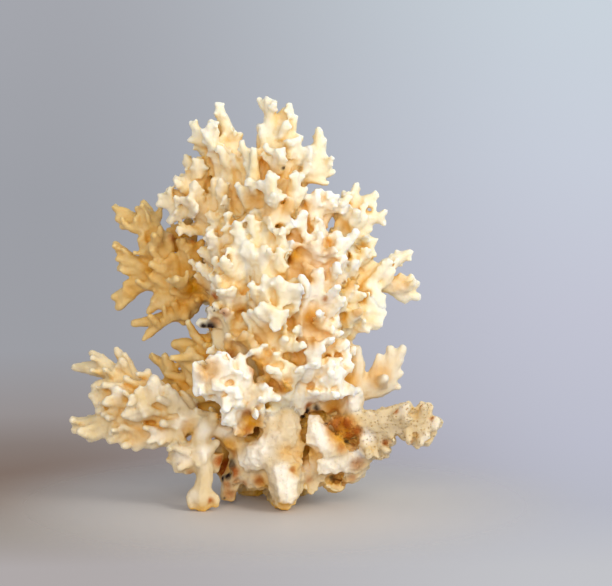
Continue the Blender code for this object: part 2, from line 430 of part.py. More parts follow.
# Limbs behind, grown the same way and hidden from the front.
LIMBS["back_low_left_limb"] = [
    [(-6, 25, -9, 6.5), (-14, 29, -20, 5.4), (-21, 34, -28, 4.2), (-25.5, 40, -33, 3), (-27, 46, -36, 1.7)],
    [(-19, 32, -26, 3.2), (-24, 28, -36, 1.7)],
    [(-21, 34, -28, 2.8), (-15, 40, -39, 1.7)],
    [(-12, 28, -18, 3.6), (-9, 30, -32, 2.4), (-8, 35, -40, 1.6)],
    [(-22, 35, -28, 2.6), (-31, 33, -33, 1.5)],
]

LIMBS["back_low_right_limb"] = [
    [(8, 25, -9, 6.5), (15, 29, -19, 5.4), (22, 34, -27, 4.4), (27, 41, -31, 3.2), (29, 50, -33, 1.8)],
    [(20, 32, -25, 3.4), (27, 27, -34, 1.7)],
    [(21, 33, -26, 3), (16, 38, -38, 1.7)],
    [(24, 37, -29, 2.8), (24, 46, -38, 1.6)],
    [(14, 29, -18, 3.6), (9, 30, -32, 1.8)],
]

LIMBS["back_left_limb"] = [
    [(-6, 37, -6, 6.4), (-12, 50, -18, 5.6), (-14.6, 62, -24, 5), (-18, 74, -28, 4.4), (-24, 81, -31, 3.6),
     (-31, 84, -36, 1.8)],
    [(-19, 76, -29, 3.8), (-18, 88, -35, 3.2), (-17, 98, -38, 2.6), (-18, 107, -38, 1.6)],
    [(-12, 52, -20, 3.6), (-20, 49, -30, 2.6), (-26, 50, -36, 1.6)],
    [(-14, 64, -25, 3.4), (-10, 68, -38, 2.4), (-11, 74, -43, 1.6)],
    [(-18, 74, -29, 3), (-24, 78, -40, 1.7)],
    [(-17.6, 92, -36, 2.6), (-11, 96, -41, 1.6)],
    [(-13, 58, -21, 3.6), (-18, 64, -30, 2.4), (-18, 70, -36, 1.6)],
    [(-17, 70, -26, 3.2), (-8, 76, -30, 2.4), (-5, 82, -32, 1.6)],
]

LIMBS["back_right_limb"] = [
    [(8, 37, -6, 6.4), (14, 52, -18, 5.6), (19, 66, -24, 5.2), (22, 79, -27, 4.6), (24, 90, -29, 3.8),
     (28, 98, -29, 3), (29, 106, -28, 1.8)],
    [(16, 58, -21, 3.8), (24, 58, -31, 2.6), (27, 62, -37, 1.6)],
    [(20, 70, -25, 3.6), (27, 73, -34, 2.6), (29, 78, -39, 1.6)],
    [(22, 80, -28, 3.2), (17, 86, -38, 2.4), (17, 93, -41, 1.6)],
    [(24, 89, -29, 3), (30, 92, -36, 1.6)],
    [(19, 66, -25, 3), (14, 70, -38, 1.7)],
    [(14, 52, -18, 3.6), (8, 56, -30, 2.4), (8, 62, -36, 1.6)],
]

LIMBS["back_centre_limb"] = [
    [(0, 41, -9, 7), (0, 56, -20, 6.2), (1, 71, -28, 5.6), (0, 85, -33, 5), (2, 98, -35, 4.2),
     (3, 110, -34, 3),
     (4, 118, -33, 1.7)],
    [(0, 60, -23, 4), (-5, 62, -36, 2.8), (-7, 68, -43, 1.7)],
    [(1, 66, -26, 3.6), (8, 68, -38, 2.6), (9, 74, -44, 1.6)],
    [(0, 80, -32, 3.6), (-6, 86, -42, 2.4), (-7, 93, -45, 1.6)],
    [(1, 88, -34, 3.4), (8, 93, -42, 2.4), (9, 100, -44, 1.6)],
    [(2, 98, -35, 3), (-4, 106, -40, 2.2), (-5, 113, -40, 1.5)],
    [(0, 50, -17, 4), (2, 50, -32, 2.4), (2, 55, -39, 1.6)],
    [(1, 76, -30, 3.4), (10, 80, -32, 2.4), (12, 86, -34, 1.6)],
    [(1, 92, -34, 3), (-6, 98, -31, 2.2), (-9, 104, -31, 1.5)],
]

LIMBS["back_crown_left"] = [
    [(-5, 62, -2, 5.6), (-7.5, 80, -4, 5.2), (-8.5, 97, -9, 4.8), (-11, 109, -13, 4.2), (-14, 120, -15, 3),
     (-15.5, 128, -16, 1.7)],
    [(-9, 99, -10, 3.6), (-17, 108, -18, 2.8), (-20, 117, -20, 1.6)],
    [(-10, 105, -12, 3.2), (-8, 113, -22, 2.4), (-8, 121, -24, 1.5)],
    [(-8, 95, -9, 3.4), (-14, 98, -22, 2.2), (-15, 104, -26, 1.5)],
    [(-11, 110, -13, 3), (-5, 118, -14, 1.7)],
]

LIMBS["back_crown_right"] = [
    [(5, 58, -2, 5.6), (6, 78, -4, 5.2), (7, 94, -9, 4.6), (6, 106, -13, 3.8), (3, 116, -15, 2.8),
     (2, 125, -16, 1.7)],
    [(7, 94, -9, 3.4), (10.6, 100, -16, 2.6), (11, 108, -18, 1.6)],
    [(7, 91, -8, 3.4), (10, 93, -22, 2.2), (11, 98, -26, 1.5)],
    [(5.6, 105, -13, 3), (5, 110, -24, 1.7)],
    [(7.4, 84, -5, 3.8), (15, 87, -12, 3), (18, 93, -15, 1.8)],
]

# Base colour of each limb, sRGB
IVORY = (0.937, 0.855, 0.741)
PALE = (0.976, 0.929, 0.835)
HONEY = (0.816, 0.663, 0.435)
CHALK = (0.902, 0.831, 0.784)
LIMB_COLOUR = {
    "holdfast": CHALK,
    "left_stilt": CHALK,
    "low_left_arm": IVORY,
    "low_left_fan": HONEY,
    "upper_left_arm": HONEY,
    "left_shoulder": IVORY,
    "left_crown": IVORY,
    "front_left_cluster": PALE,
    "centre_right_limb": PALE,
    "right_blade": PALE,
}


def linear(channel):
    """One sRGB channel as linear light."""
    if channel <= 0.04045:
        return channel / 12.92
    return ((channel + 0.055) / 1.055) ** 2.4


def coral_material(name, colour):
    """Plain dry coral skeleton in the limb's own tint."""
    material = bpy.data.materials.new(name)
    material.use_nodes = True
    shader = material.node_tree.nodes["Principled BSDF"]
    shader.inputs["Base Color"].default_value = [linear(channel) for channel in colour] + [1.0]
    shader.inputs["Roughness"].default_value = 0.75
    return material


def link(name, data):
    """New object in the scene."""
    thing = bpy.data.objects.new(name, data)
    bpy.context.scene.collection.objects.link(thing)
    return thing


def settle(thing):
    """Make the object's modifiers and shape its plain mesh."""
    bpy.context.view_layer.update()
    view = bpy.context.evaluated_depsgraph_get()
    settled = bpy.data.meshes.new_from_object(thing.evaluated_get(view))
    thing.modifiers.clear()
    old_data = thing.data
    if isinstance(old_data, bpy.types.Mesh):
        thing.data = settled
        return thing
    name = thing.name
    bpy.data.objects.remove(thing, do_unlink=True)
    return link(name, settled)


def run_length(run):
    """Length of one run in mm."""
    spots = [seen(*row[:3]) for row in run]
    return sum((end - start).length for start, end in zip(spots, spots[1:]))


def add_run(curve, run):
    """One tapered run with a rounded tip, as a spline of the limb's curve."""
    spots = [seen(*row[:3]) for row in run]
    radii = [row[3] for row in run]
    heading = (spots[-1] - spots[-2]).normalized()
    tip = spots[-1]
    tip_radius = radii[-1]
    spots += [tip + heading * tip_radius * 0.6, tip + heading * tip_radius * 0.95]
    radii += [tip_radius * 0.75, tip_radius * 0.3]
    spline = curve.splines.new("BEZIER")
    spline.bezier_points.add(len(spots) - 1)
    for point, spot, radius in zip(spline.bezier_points, spots, radii):
        point.co = spot * MM
        point.radius = radius
        point.handle_left_type = "AUTO"
        point.handle_right_type = "AUTO"


def add_block(data, corners):
    """Add the block that spans a set of corners to a mesh."""
    mesh = bmesh.new()
    mesh.from_mesh(data)
    points = [mesh.verts.new(seen(*corner) * MM) for corner in corners]
    hull = bmesh.ops.convex_hull(mesh, input=points)
    inside = [item for item in hull["geom_interior"] if isinstance(item, bmesh.types.BMVert)]
    bmesh.ops.delete(mesh, geom=inside, context="VERTS")
    mesh.to_mesh(data)
    mesh.free()


def grow_limb(name):
    """The limb's runs and blocks, grown together into one skin."""
    curve = bpy.data.curves.new(name, "CURVE")
    curve.dimensions = "3D"
    curve.bevel_depth = MM
    curve.bevel_resolution = 2
    curve.resolution_u = 4
    curve.use_fill_caps = True
    for run in LIMBS[name]:
        add_run(curve, run)
    limb = settle(link(name, curve))
    for corners in SLABS.get(name, []):
        add_block(limb.data, corners)
    fuse = limb.modifiers.new("grow together", "REMESH")
    fuse.mode = "VOXEL"
    fuse.voxel_size = FUSE_CELL * MM
    fillet = limb.modifiers.new("soft forks", "SMOOTH")
    fillet.factor = 0.5
    fillet.iterations = SMOOTH_ROUNDS
    return settle(limb)


def facet(limb, triangles):
    """Bring the limb down to its share of facets."""
    faces = sum(len(polygon.vertices) - 2 for polygon in limb.data.polygons)
    fewer = limb.modifiers.new("facets", "DECIMATE")
    fewer.ratio = min(1.0, triangles / faces)
    fewer.use_collapse_triangulate = True
    return settle(limb)


def is_closed(data):
    """Whether every edge of the mesh has its two faces."""
    mesh = bmesh.new()
    mesh.from_mesh(data)
    closed = len(mesh.faces) > 0 and all(len(edge.link_faces) == 2 for edge in mesh.edges)
    mesh.free()
    return closed


def cut_mesh(data, operation, other, careful):
    """Mesh left when a Boolean operation with another object is done."""
    worked = link("worked", data)
    cut = worked.modifiers.new("cut", "BOOLEAN")
    cut.operation = operation
    cut.solver = "EXACT"
    cut.use_self = careful
    cut.object = other
    settle(worked)
    result = worked.data
    bpy.data.objects.remove(worked, do_unlink=True)
    return result


def shared_volume(data, neighbour):
    """Volume in cubic mm that a mesh shares with a neighbour."""
    mesh = bmesh.new()
    mesh.from_mesh(cut_mesh(data, "INTERSECT", neighbour, True))
    volume = abs(mesh.calc_volume()) / MM ** 3
    mesh.free()
    return volume


def take_away(limb, neighbour, cutters):
    """Cut the room of a neighbour out of the limb, by the first cutter that leaves them apart."""
    best = None
    least = math.inf
    for cutter in cutters:
        for careful in (True, False):
            result = cut_mesh(limb.data, "DIFFERENCE", cutter, careful)
            shared = shared_volume(result, neighbour)
            if is_closed(result) and shared < least:
                best = result
                least = shared
            if least < SHARED_ALLOWED:
                limb.data = best
                return
    print("badly cut:", limb.name, neighbour.name, least)
    limb.data = best


def keep_largest_island(limb):
    """Drop the crumbs a cut may leave."""
    mesh = bmesh.new()
    mesh.from_mesh(limb.data)
    visited = set()
    islands = []
    for start in mesh.faces:
        if start in visited:
            continue
        island = [start]
        visited.add(start)
        for face in island:
            for edge in face.edges:
                for other in edge.link_faces:
                    if other not in visited:
                        visited.add(other)
                        island.append(other)
        islands.append(island)
    islands.sort(key=len)
    for island in islands[:-1]:
        bmesh.ops.delete(mesh, geom=island, context="FACES")
    bmesh.ops.triangulate(mesh, faces=mesh.faces)
    bmesh.ops.recalc_face_normals(mesh, faces=mesh.faces)
    mesh.to_mesh(limb.data)
    mesh.free()


def merge_close_points(limb):
    """Merge points that fall together, where that leaves the limb closed."""
    merged = limb.data.copy()
    mesh = bmesh.new()
    mesh.from_mesh(merged)
    bmesh.ops.remove_doubles(mesh, verts=mesh.verts, dist=MERGE)
    mesh.to_mesh(merged)
    mesh.free()
    if is_closed(merged):
        limb.data = merged


def swollen_copies(limb):
    """Copies of a limb, thicker all round by the fork gap: as it is, and with an even skin."""
    copies = []
    for gap, even_skin in ((FORK_GAP, False), (FORK_GAP, True), (FORK_GAP * 1.5, True)):
        copy = link("swollen " + limb.name, limb.data.copy())
        swell = copy.modifiers.new("swell", "DISPLACE")
        swell.direction = "NORMAL"
        swell.mid_level = 0.0
        swell.strength = gap * MM
        if even_skin:
            even = copy.modifiers.new("even skin", "REMESH")
            even.mode = "VOXEL"
            even.voxel_size = FUSE_CELL * MM
        settle(copy)
        copies.append(facet(copy, len(limb.data.polygons) * 1.3))
    return copies


def box_of(thing):
    """Lowest and highest corner of a mesh."""
    corners = [vertex.co for vertex in thing.data.vertices]
    low = Vector([min(corner[axis] for corner in corners) for axis in range(3)])
    high = Vector([max(corner[axis] for corner in corners) for axis in range(3)])
    return low, high


def boxes_meet(first, second):
    """Whether the boxes of two meshes overlap."""
    low_first, high_first = box_of(first)
    low_second, high_second = box_of(second)
    return all(low_first[axis] <= high_second[axis] and low_second[axis] <= high_first[axis] for axis in range(3))


# The ground under the cut, only there to cut the feet flat
ground_mesh = bpy.data.meshes.new("ground")
ground_shape = bmesh.new()
bmesh.ops.create_cube(ground_shape, size=COLONY_BOX * MM)
bmesh.ops.translate(ground_shape, verts=ground_shape.verts, vec=(0, 0, -COLONY_BOX * MM / 2))
ground_shape.to_mesh(ground_mesh)
ground_shape.free()
ground = link("ground", ground_mesh)

# Grow every limb, and give each a share of the facets by its length
lengths = {}
for limb_name, runs in LIMBS.items():
    lengths[limb_name] = sum(run_length(run) for run in runs)
HOLDFAST_SHARE = 1.6
lengths["holdfast"] *= HOLDFAST_SHARE
whole_length = sum(lengths.values())

neighbours = []
for limb_name in LIMBS:
    limb = grow_limb(limb_name)
    share = int(TRIANGLES_IN_ALL * lengths[limb_name] / whole_length)
    limb = facet(limb, share)
    if box_of(limb)[0].z < 0.0:
        limb.data = cut_mesh(limb.data, "DIFFERENCE", ground, True)
    for neighbour, cutters in neighbours:
        if boxes_meet(limb, cutters[0]):
            take_away(limb, neighbour, cutters)
    merge_close_points(limb)
    keep_largest_island(limb)
    colour = LIMB_COLOUR.get(limb_name, IVORY)
    limb.data.materials.clear()
    limb.data.materials.append(coral_material(limb_name.replace("_", " "), colour))
    neighbours.append((limb, swollen_copies(limb)))

for _, cutters in neighbours:
    for cutter in cutters:
        bpy.data.objects.remove(cutter, do_unlink=True)
bpy.data.objects.remove(ground, do_unlink=True)
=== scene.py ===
"""Dried branching coral, cut off flat where it grew and standing on that cut, on a pale studio floor.

The frame is in metres: X to the viewer's right, Y away from the viewer, Z up, origin in the middle of the
cut. The colony is one grown skeleton. Its limbs are laid out first, section by section from base to crown,
then grown together as one skin, weathered, stained, and parted at the forks where the CAD nodes part.
"""
import math
import random

import bmesh
import bpy
import numpy as np
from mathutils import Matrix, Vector
from mathutils.bvhtree import BVHTree
from mathutils.kdtree import KDTree


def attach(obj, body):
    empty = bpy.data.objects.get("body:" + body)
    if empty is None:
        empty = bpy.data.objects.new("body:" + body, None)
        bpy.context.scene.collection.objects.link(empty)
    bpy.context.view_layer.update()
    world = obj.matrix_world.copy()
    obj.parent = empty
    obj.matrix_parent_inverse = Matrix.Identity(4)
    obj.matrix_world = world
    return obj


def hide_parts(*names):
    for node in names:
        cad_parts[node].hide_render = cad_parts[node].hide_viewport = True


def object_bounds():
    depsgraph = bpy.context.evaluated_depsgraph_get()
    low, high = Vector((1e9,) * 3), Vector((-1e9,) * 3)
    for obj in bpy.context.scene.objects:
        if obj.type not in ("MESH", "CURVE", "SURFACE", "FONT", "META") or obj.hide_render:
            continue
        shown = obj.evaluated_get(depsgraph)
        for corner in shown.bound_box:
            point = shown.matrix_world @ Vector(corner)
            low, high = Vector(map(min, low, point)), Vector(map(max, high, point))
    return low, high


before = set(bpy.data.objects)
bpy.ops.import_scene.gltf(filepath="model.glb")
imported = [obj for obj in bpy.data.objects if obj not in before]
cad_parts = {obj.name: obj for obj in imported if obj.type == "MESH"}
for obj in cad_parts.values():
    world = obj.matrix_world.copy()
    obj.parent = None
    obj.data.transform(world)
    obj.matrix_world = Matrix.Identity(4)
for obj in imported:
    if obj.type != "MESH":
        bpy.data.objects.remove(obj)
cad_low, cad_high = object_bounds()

# The studio: a pale paper floor that fades into a soft blue grey backdrop, a soft light high on the right
# and a broader one in front. The eye stands 0.9 m off, 6 degrees above the level, with a long lens.
MM = 0.001                # metres in a millimetre
EYE_ELEVATION = math.radians(6.0)
EYE_DISTANCE = 900.0      # mm
EYE_AIM_ACROSS = 11.26    # mm, where the eye looks on the colony's front
EYE_AIM_UP = 75.91
LIFT = math.sin(EYE_ELEVATION)
LEVEL = math.cos(EYE_ELEVATION)
EYE = Vector((EYE_AIM_ACROSS, EYE_AIM_UP * LIFT - EYE_DISTANCE * LEVEL,
              EYE_AIM_UP * LEVEL + EYE_DISTANCE * LIFT))
FRAME_WIDTH = 612         # pixels
EYE_FOCAL = 2478.0        # focal length of the eye, in pixels of that frame
SENSOR = 36.0             # mm
LIGHTS_AIM = Vector((0.0, 0.0, 0.07))     # metres, the middle of the colony


def seen(across, up, toward):
    """World point, in mm, that shows at (across, up) and stands `toward` nearer to the viewer."""
    plane_point = Vector((across, up * LIFT, up * LEVEL))
    sight = plane_point - EYE
    return EYE + sight * ((-toward - EYE.y) / sight.y)


def paint(hex_colour):
    """An sRGB hex colour as the linear colour that shaders take."""
    linear = []
    for start in (1, 3, 5):
        channel = int(hex_colour[start:start + 2], 16) / 255
        linear.append(channel / 12.92 if channel <= 0.04045 else ((channel + 0.055) / 1.055) ** 2.4)
    return (*linear, 1.0)


def add_node(material, kind, values=None, links=None, **settings):
    """Add a node of one kind: its settings, the values of its inputs, and what feeds its inputs."""
    tree = material.node_tree
    node = tree.nodes.new(kind)
    for name, value in settings.items():
        setattr(node, name, value)
    for socket, value in (values or {}).items():
        node.inputs[socket].default_value = value
    for socket, source in (links or {}).items():
        tree.links.new(source, node.inputs[socket])
    return node


def new_material(name):
    """A material with an empty node tree and its output."""
    material = bpy.data.materials.new(name)
    material.use_nodes = True
    material.node_tree.nodes.clear()
    return material


def put_soft_light(name, across, deep, high, size, power, colour):
    """A square soft light at a place in metres, facing the colony, with its power in watts."""
    bpy.ops.object.light_add(type="AREA", location=(across, deep, high))
    lamp = bpy.context.object
    lamp.name = name
    lamp.data.size = size
    lamp.data.energy = power
    lamp.data.color = paint(colour)[:3]
    lamp.rotation_euler = (LIGHTS_AIM - lamp.location).to_track_quat("-Z", "Y").to_euler()


bpy.ops.object.select_all(action="DESELECT")
bpy.ops.object.camera_add(location=EYE * MM, rotation=(math.pi / 2 - EYE_ELEVATION, 0, 0))
camera = bpy.context.object
camera.data.sensor_width = SENSOR
camera.data.lens = SENSOR * EYE_FOCAL / FRAME_WIDTH
camera.data.clip_start = 0.01
camera.data.clip_end = 50.0
bpy.context.scene.camera = camera
bpy.context.scene.view_settings.view_transform = "Standard"

put_soft_light("key_light", across=0.7, deep=-0.6, high=0.6, size=0.4, power=4.9, colour="#FFF9EA")
put_soft_light("front_light", across=-0.12, deep=-1.1, high=0.36, size=0.55, power=6.8, colour="#FFFAEE")

# Backdrop air: bands of grey from low to high, (rise of the sight line, colour). It is darker and warmer
# low on the left, as in the photo.
# The dark warm bands low on the left are a painted shadow: the colony's soft shadow, cast back and to the
# left on the floor.
LEFT_AIR_AND_SHADOW = [
    (-0.212, "#AFA9A9"), (-0.198, "#9B928A"), (-0.187, "#89796C"), (-0.175, "#807067"), (-0.164, "#877C77"),
    (-0.152, "#979191"), (-0.127, "#9D9EA4"), (-0.067, "#9D9FA6"), (0.02, "#A5A7AE")
]
RIGHT_AIR = [
    (-0.212, "#C3C4C9"), (-0.187, "#B8BAC6"), (-0.164, "#BCBECD"), (-0.11, "#C3C5D4"), (-0.05, "#C8CEDB"),
    (0.02, "#CAD4DD")
]
LEFT_AIR_ENDS = -0.11      # where the sight line goes aside this much, the left air starts to fade
RIGHT_AIR_BEGINS = 0.13
LOWEST_AIR = -0.25
HIGHEST_AIR = 0.05
sky = bpy.data.worlds.new("studio_air")
bpy.context.scene.world = sky
sky.use_nodes = True
sky.node_tree.nodes.clear()
direction = add_node(sky, "ShaderNodeTexCoord")
sides = add_node(sky, "ShaderNodeSeparateXYZ", links={"Vector": direction.outputs["Generated"]})
across_sky = add_node(sky, "ShaderNodeMapRange", {"From Min": LEFT_AIR_ENDS, "From Max": RIGHT_AIR_BEGINS},
                      {"Value": sides.outputs["X"]}, interpolation_type="SMOOTHSTEP")
up_sky = add_node(sky, "ShaderNodeMapRange", {"From Min": LOWEST_AIR, "From Max": HIGHEST_AIR},
                  {"Value": sides.outputs["Z"]})


def air_bands(bands):
    """Grey bands of the backdrop from low to high."""
    node = add_node(sky, "ShaderNodeValToRGB", links={"Fac": up_sky.outputs["Result"]})
    ramp = node.color_ramp
    while len(ramp.elements) < len(bands):
        ramp.elements.new(0.5)
    for element, (height, colour) in zip(ramp.elements, bands):
        element.position = (height - LOWEST_AIR) / (HIGHEST_AIR - LOWEST_AIR)
        element.color = paint(colour)
    return node.outputs["Color"]


air = add_node(sky, "ShaderNodeMix", links={"Factor": across_sky.outputs["Result"], "A": air_bands(LEFT_AIR_AND_SHADOW),
               "B": air_bands(RIGHT_AIR)}, data_type="RGBA")
glow = add_node(sky, "ShaderNodeBackground", {"Strength": 1.0}, {"Color": air.outputs["Result"]})
add_node(sky, "ShaderNodeOutputWorld", links={"Surface": glow.outputs["Background"]})

# Floor: matt studio paper that thins into the air round the colony, so that no edge of it shows
FLOOR_RADIUS = 0.5         # metres
FADE_START = 0.04
FADE_END = 0.125
bpy.ops.mesh.primitive_circle_add(vertices=96, radius=FLOOR_RADIUS, fill_type="NGON", location=(0, 0, 0))
floor = bpy.context.object
floor.name = "studio_floor"
paper = new_material("matt_studio_paper")
place = add_node(paper, "ShaderNodeTexCoord")
from_middle = add_node(paper, "ShaderNodeVectorMath", links={0: place.outputs["Object"]}, operation="LENGTH")
fade = add_node(paper, "ShaderNodeMapRange", {"From Min": FADE_START, "From Max": FADE_END},
                {"Value": from_middle.outputs["Value"]}, interpolation_type="SMOOTHSTEP")
matt = add_node(paper, "ShaderNodeBsdfPrincipled", {"Base Color": paint("#CDC8C6"), "Roughness": 0.6,
                "Specular IOR Level": 0.25})
clear = add_node(paper, "ShaderNodeBsdfTransparent")
edge = add_node(paper, "ShaderNodeMixShader", links={0: fade.outputs["Result"], 1: matt.outputs["BSDF"],
                2: clear.outputs["BSDF"]})
add_node(paper, "ShaderNodeOutputMaterial", links={"Surface": edge.outputs["Shader"]})
floor.data.materials.append(paper)

# How a limb is written down: each row is a run of the skeleton from its root to its tip, as spots of
# (across, up, toward, radius) in mm, on the front of the colony as the eye sees it. SLOTS names its stone.
LIMBS = {}
SLOTS = {}

# The holdfast: the lump that the colony grew from. It is solid old skeleton, worn to chalk, with short
# feet, a ledge on the right and a broken wedge. It was cut off flat, and the colony stands on that cut.
SLOTS["holdfast"] = "chalky_base"
LIMBS["holdfast"] = [
    [(-2, 12, -4, 9), (0, 15, 0, 12), (3, 24, 0, 10.5), (4, 35, 1, 8)],
    [(-17, 0.5, 4, 2.6), (-16.5, 5, 4, 3.2), (-14.5, 10, 5, 5), (-10, 16, 6, 7)],
    [(-10, 9, 6, 4.6), (-5, 9, 9, 5)],
    [(-11, 15, 10, 5), (-4, 18, 14, 6.5), (3, 24, 14, 6.5), (4, 31, 13, 5)],
    [(3.6, -0.8, 21, 3.2), (4.4, 4, 20, 4.6), (3, 12, 17, 6.5)],
    [(3, 0, 18, 3.2), (2.4, 1, 8, 3.8), (1.6, 2, -4, 4.6), (1, 6, -10, 6)],
    [(8.5, 6, 12, 2.8), (7, 10, 12, 5)],
    [(13.4, 4.6, 8, 3), (13, 12, 7, 6)],
    [(7, 1, -18, 4.4), (7, 10, -14, 7), (6, 18, -8, 9)],
    [(-9, 2, -18, 4.4), (-8, 10, -13, 7), (-5, 18, -8, 9)],
    [(-16, 10, -6, 5), (-19.5, 14, -5, 3.6), (-20, 20, -2, 4)],
    [(13, 18, 7, 8), (22, 17.5, 8, 7.5), (29, 18, 7, 5.5), (33, 17, 6, 3.6)],
    [(18, 12, 6, 5), (22, 6.6, 4, 3.8)],
    [(24, 12, 6, 5.4), (29, 10.6, 5, 3.6), (33.8, 15.4, 5, 1.8)],
    [(33.5, 20.5, 10, 2.4), (33.5, 25.5, 10, 2.2)],
    [(14.5, 31, 14, 1.6), (15, 26, 15, 4), (18, 21, 14, 5)],
    [(-9, 19, 6, 6), (-17, 25, 7, 5)],
    [(6, 28, 2, 9), (16, 31, 1, 7)],
]

# Blocks of the holdfast where it is broken flat, each by its corners, (across, up, toward) in mm: the front
# foot, the chalky body left of it, the wedge, the ledge right of the foot, the small lobe and the lip under
# the ledge, the stone between foot and wedge, and the blob at the end of the ledge.
SLABS = [
    [(-0.2, -1.6, 18), (6.8, -1.8, 18), (3.4, -1, 20), (-3.2, 5, 15), (10.9, 5.2, 13), (8.6, 10, 15),
     (-0.6, 13.6, 16), (4.4, 14.6, 19), (3.4, 4, 21), (1, -0.4, 8), (7, -0.4, 8), (4, 12, 6)],
    [(-14.6, 19, 9), (-14.8, 12.4, 9), (-13, 10.2, 10), (-5, 10, 13), (-2, 6.4, 14), (0, 14, 17),
     (-4, 20, 17), (-9, 22.4, 15), (-12.4, 21.4, 11), (2, 21, 17), (-12, 14, 0), (0, 12, 2)],
    [(12.2, 32.2, 14), (16, 32.2, 14), (17.6, 28.8, 15), (22, 25.4, 16), (26.6, 20, 15), (20.6, 18.6, 18),
     (10.8, 21, 19), (10.8, 26, 17), (13, 30, 8), (17, 27, 8), (24, 21, 7), (13, 20, 8)],
    [(14.4, 15, 18), (20, 18.4, 18), (28, 19.4, 15), (34, 17.4, 12), (36.6, 15.2, 10), (33.4, 13, 11),
     (31, 10.4, 11), (19, 10.2, 15), (15.4, 9.6, 16), (18, 13, 2), (30, 14, 2)],
    [(10.6, 8, 13), (11, 3, 12), (13, 2, 12), (16, 4, 11), (16.4, 8.4, 11), (13, 11, 13), (13, 6, 5)],
    [(16.8, 7, 11), (19.6, 4.4, 12), (22.6, 3, 12), (25, 3.6, 11), (25.8, 5.6, 10), (21, 7.4, 9),
     (23, 9, 2), (19, 9, 3)],
    [(-3, 21, 15.4), (3, 25, 13.6), (10, 25, 13.6), (11, 20, 16), (10, 13, 15.4), (2, 12, 16.4),
     (-3, 14, 16), (5, 17, 17), (4, 20, 6)],
    [(31.2, 26.4, 12), (34, 27.4, 12), (35, 24, 12), (34.4, 20.4, 11), (31.6, 20, 11), (31, 23, 13.4),
     (34, 22, 13), (33, 24, 5)],
]

# The left stilt: a thin leg of old chalky skeleton with a splayed foot and stubs on its outer side. It grew
# down from the root of the low left arm and is cut off flat like the base.
SLOTS["left_stilt"] = "chalky_stilt"
LIMBS["left_stilt"] = [
    [(-17, 26, 8, 4.4), (-24, 27, 10, 4), (-27, 23, 12, 3.6), (-26.4, 17, 13, 3.4), (-25.4, 10, 14, 3.2),
     (-26.2, 6, 15, 3.2), (-26.4, 1, 16, 4.6)],
    [(-27, 4.5, 15, 3), (-30.6, 1.6, 16, 2), (-30, -1, 17, 1.8)],
    [(-25, 3, 15, 3), (-21.6, 0.4, 17, 1.8), (-21.4, -1, 17, 1.4)],
    [(-28, 19, 12, 3.6), (-34, 18, 11, 3.6), (-37.4, 18, 10, 2)],
    [(-29, 15, 12, 3), (-34, 15, 11.5, 3.6), (-38.8, 15.2, 11, 1.3)],
    [(-31, 14.5, 12, 3), (-36, 11.6, 12, 1.4)],
    [(-29, 14, 12, 2.8), (-32, 11.4, 12, 2)],
    [(-25, 18, 13, 2.2), (-21, 21.6, 15, 1.5)],
    [(-24, 27, 11, 3.2), (-22, 31, 15, 2)],
    [(-22, 18, 9, 3.6), (-22, 12, 9, 2.2)],
]

# The low left arm: an old branch that grew out flat from the base and ends in blunt fingers. It is ivory
# skeleton with a grey tint, partly age and partly painted shade where the light falls off, and so worn that
# it has no teeth left.
SLOTS["low_left_arm"] = "ivory_coral"
LIMBS["low_left_arm"] = [
    [(-22, 28, 8, 4.6), (-30, 29.5, 8, 4.7), (-38, 32, 8, 5), (-47, 35.5, 7, 5.2), (-54, 38.5, 6, 4.4),
     (-59, 41, 5, 3.6)],
    [(-52, 40, 6, 3.6), (-58, 46, 4, 3.2), (-62.5, 50.6, 2, 2.6), (-66.5, 54.2, 0, 1.5)],
    [(-58, 46.5, 2, 3), (-66, 48.6, 0, 2.8), (-72.6, 49, -2, 1.6)],
    [(-48.6, 39, 5, 3.4), (-52, 46, 2, 3), (-54.6, 50.5, 1, 2.2), (-57.7, 55.5, 0, 1.3)],
    [(-52.5, 48, 1, 2.2), (-54.6, 53.4, 2, 1.3)],
    [(-46, 40, 8, 2.8), (-46.3, 47.6, 9, 1.4)],
    [(-57, 42, 6, 3.2), (-65.6, 42, 6, 1.8)],
    [(-57, 39.5, 7, 3), (-66.3, 38.5, 8, 1.8)],
    [(-56, 38, 7, 3), (-65, 36, 9, 1.7)],
    [(-54, 38, 9, 3), (-57.5, 40, 12.5, 2)],
    [(-31, 31, 8, 3.6), (-34.6, 36, 8, 2)],
    [(-38, 36, 7, 3.4), (-41, 40, 8, 2.4)],
    [(-48, 32.5, 8, 4.4), (-56, 30.5, 8, 4), (-64, 28.6, 7, 3.6), (-70, 28.4, 6, 3), (-73.6, 29.8, 6, 1.6)],
    [(-65, 28, 7, 3), (-72.8, 26, 7, 1.8)],
    [(-59, 27.6, 8, 3.6), (-67.4, 23, 9, 1.8)],
    [(-55, 28, 8, 4), (-59.4, 23, 10, 2.2)],
    [(-49, 25.4, 8, 4), (-55, 22, 9, 2.2)],
    [(-57, 33, 9, 2.2), (-64.4, 33, 10, 1.3)],
    [(-42, 35, 10, 3.6), (-44, 44, 14, 1.9)],
    [(-38, 33, 10, 3.2), (-38.7, 40.6, 14, 1.7)],
    [(-45, 33, 10, 3.8), (-49, 32, 14.5, 2.6)],
    [(-33, 26, 9, 4.8), (-40, 24.2, 9, 4.2), (-47, 24, 8, 4), (-53, 26, 8, 3.4)],
    [(-43, 24, 9, 3.6), (-44, 21.2, 10, 2.4)],
    [(-48, 23, 9, 3.4), (-50.4, 20, 10, 2)],
    [(-36, 23.6, 10, 3), (-38, 21.6, 11, 1.8)],
    [(-40, 32, 4, 3.6), (-44, 33, -7, 2.6), (-47, 34, -15, 1.6)],
    [(-52, 38, 4, 3.2), (-55, 40, -6, 2.4), (-57, 43, -13, 1.5)],
    [(-46, 33, 10, 3), (-51, 37, 17, 2.2), (-52, 38, 21, 1.5)],
]
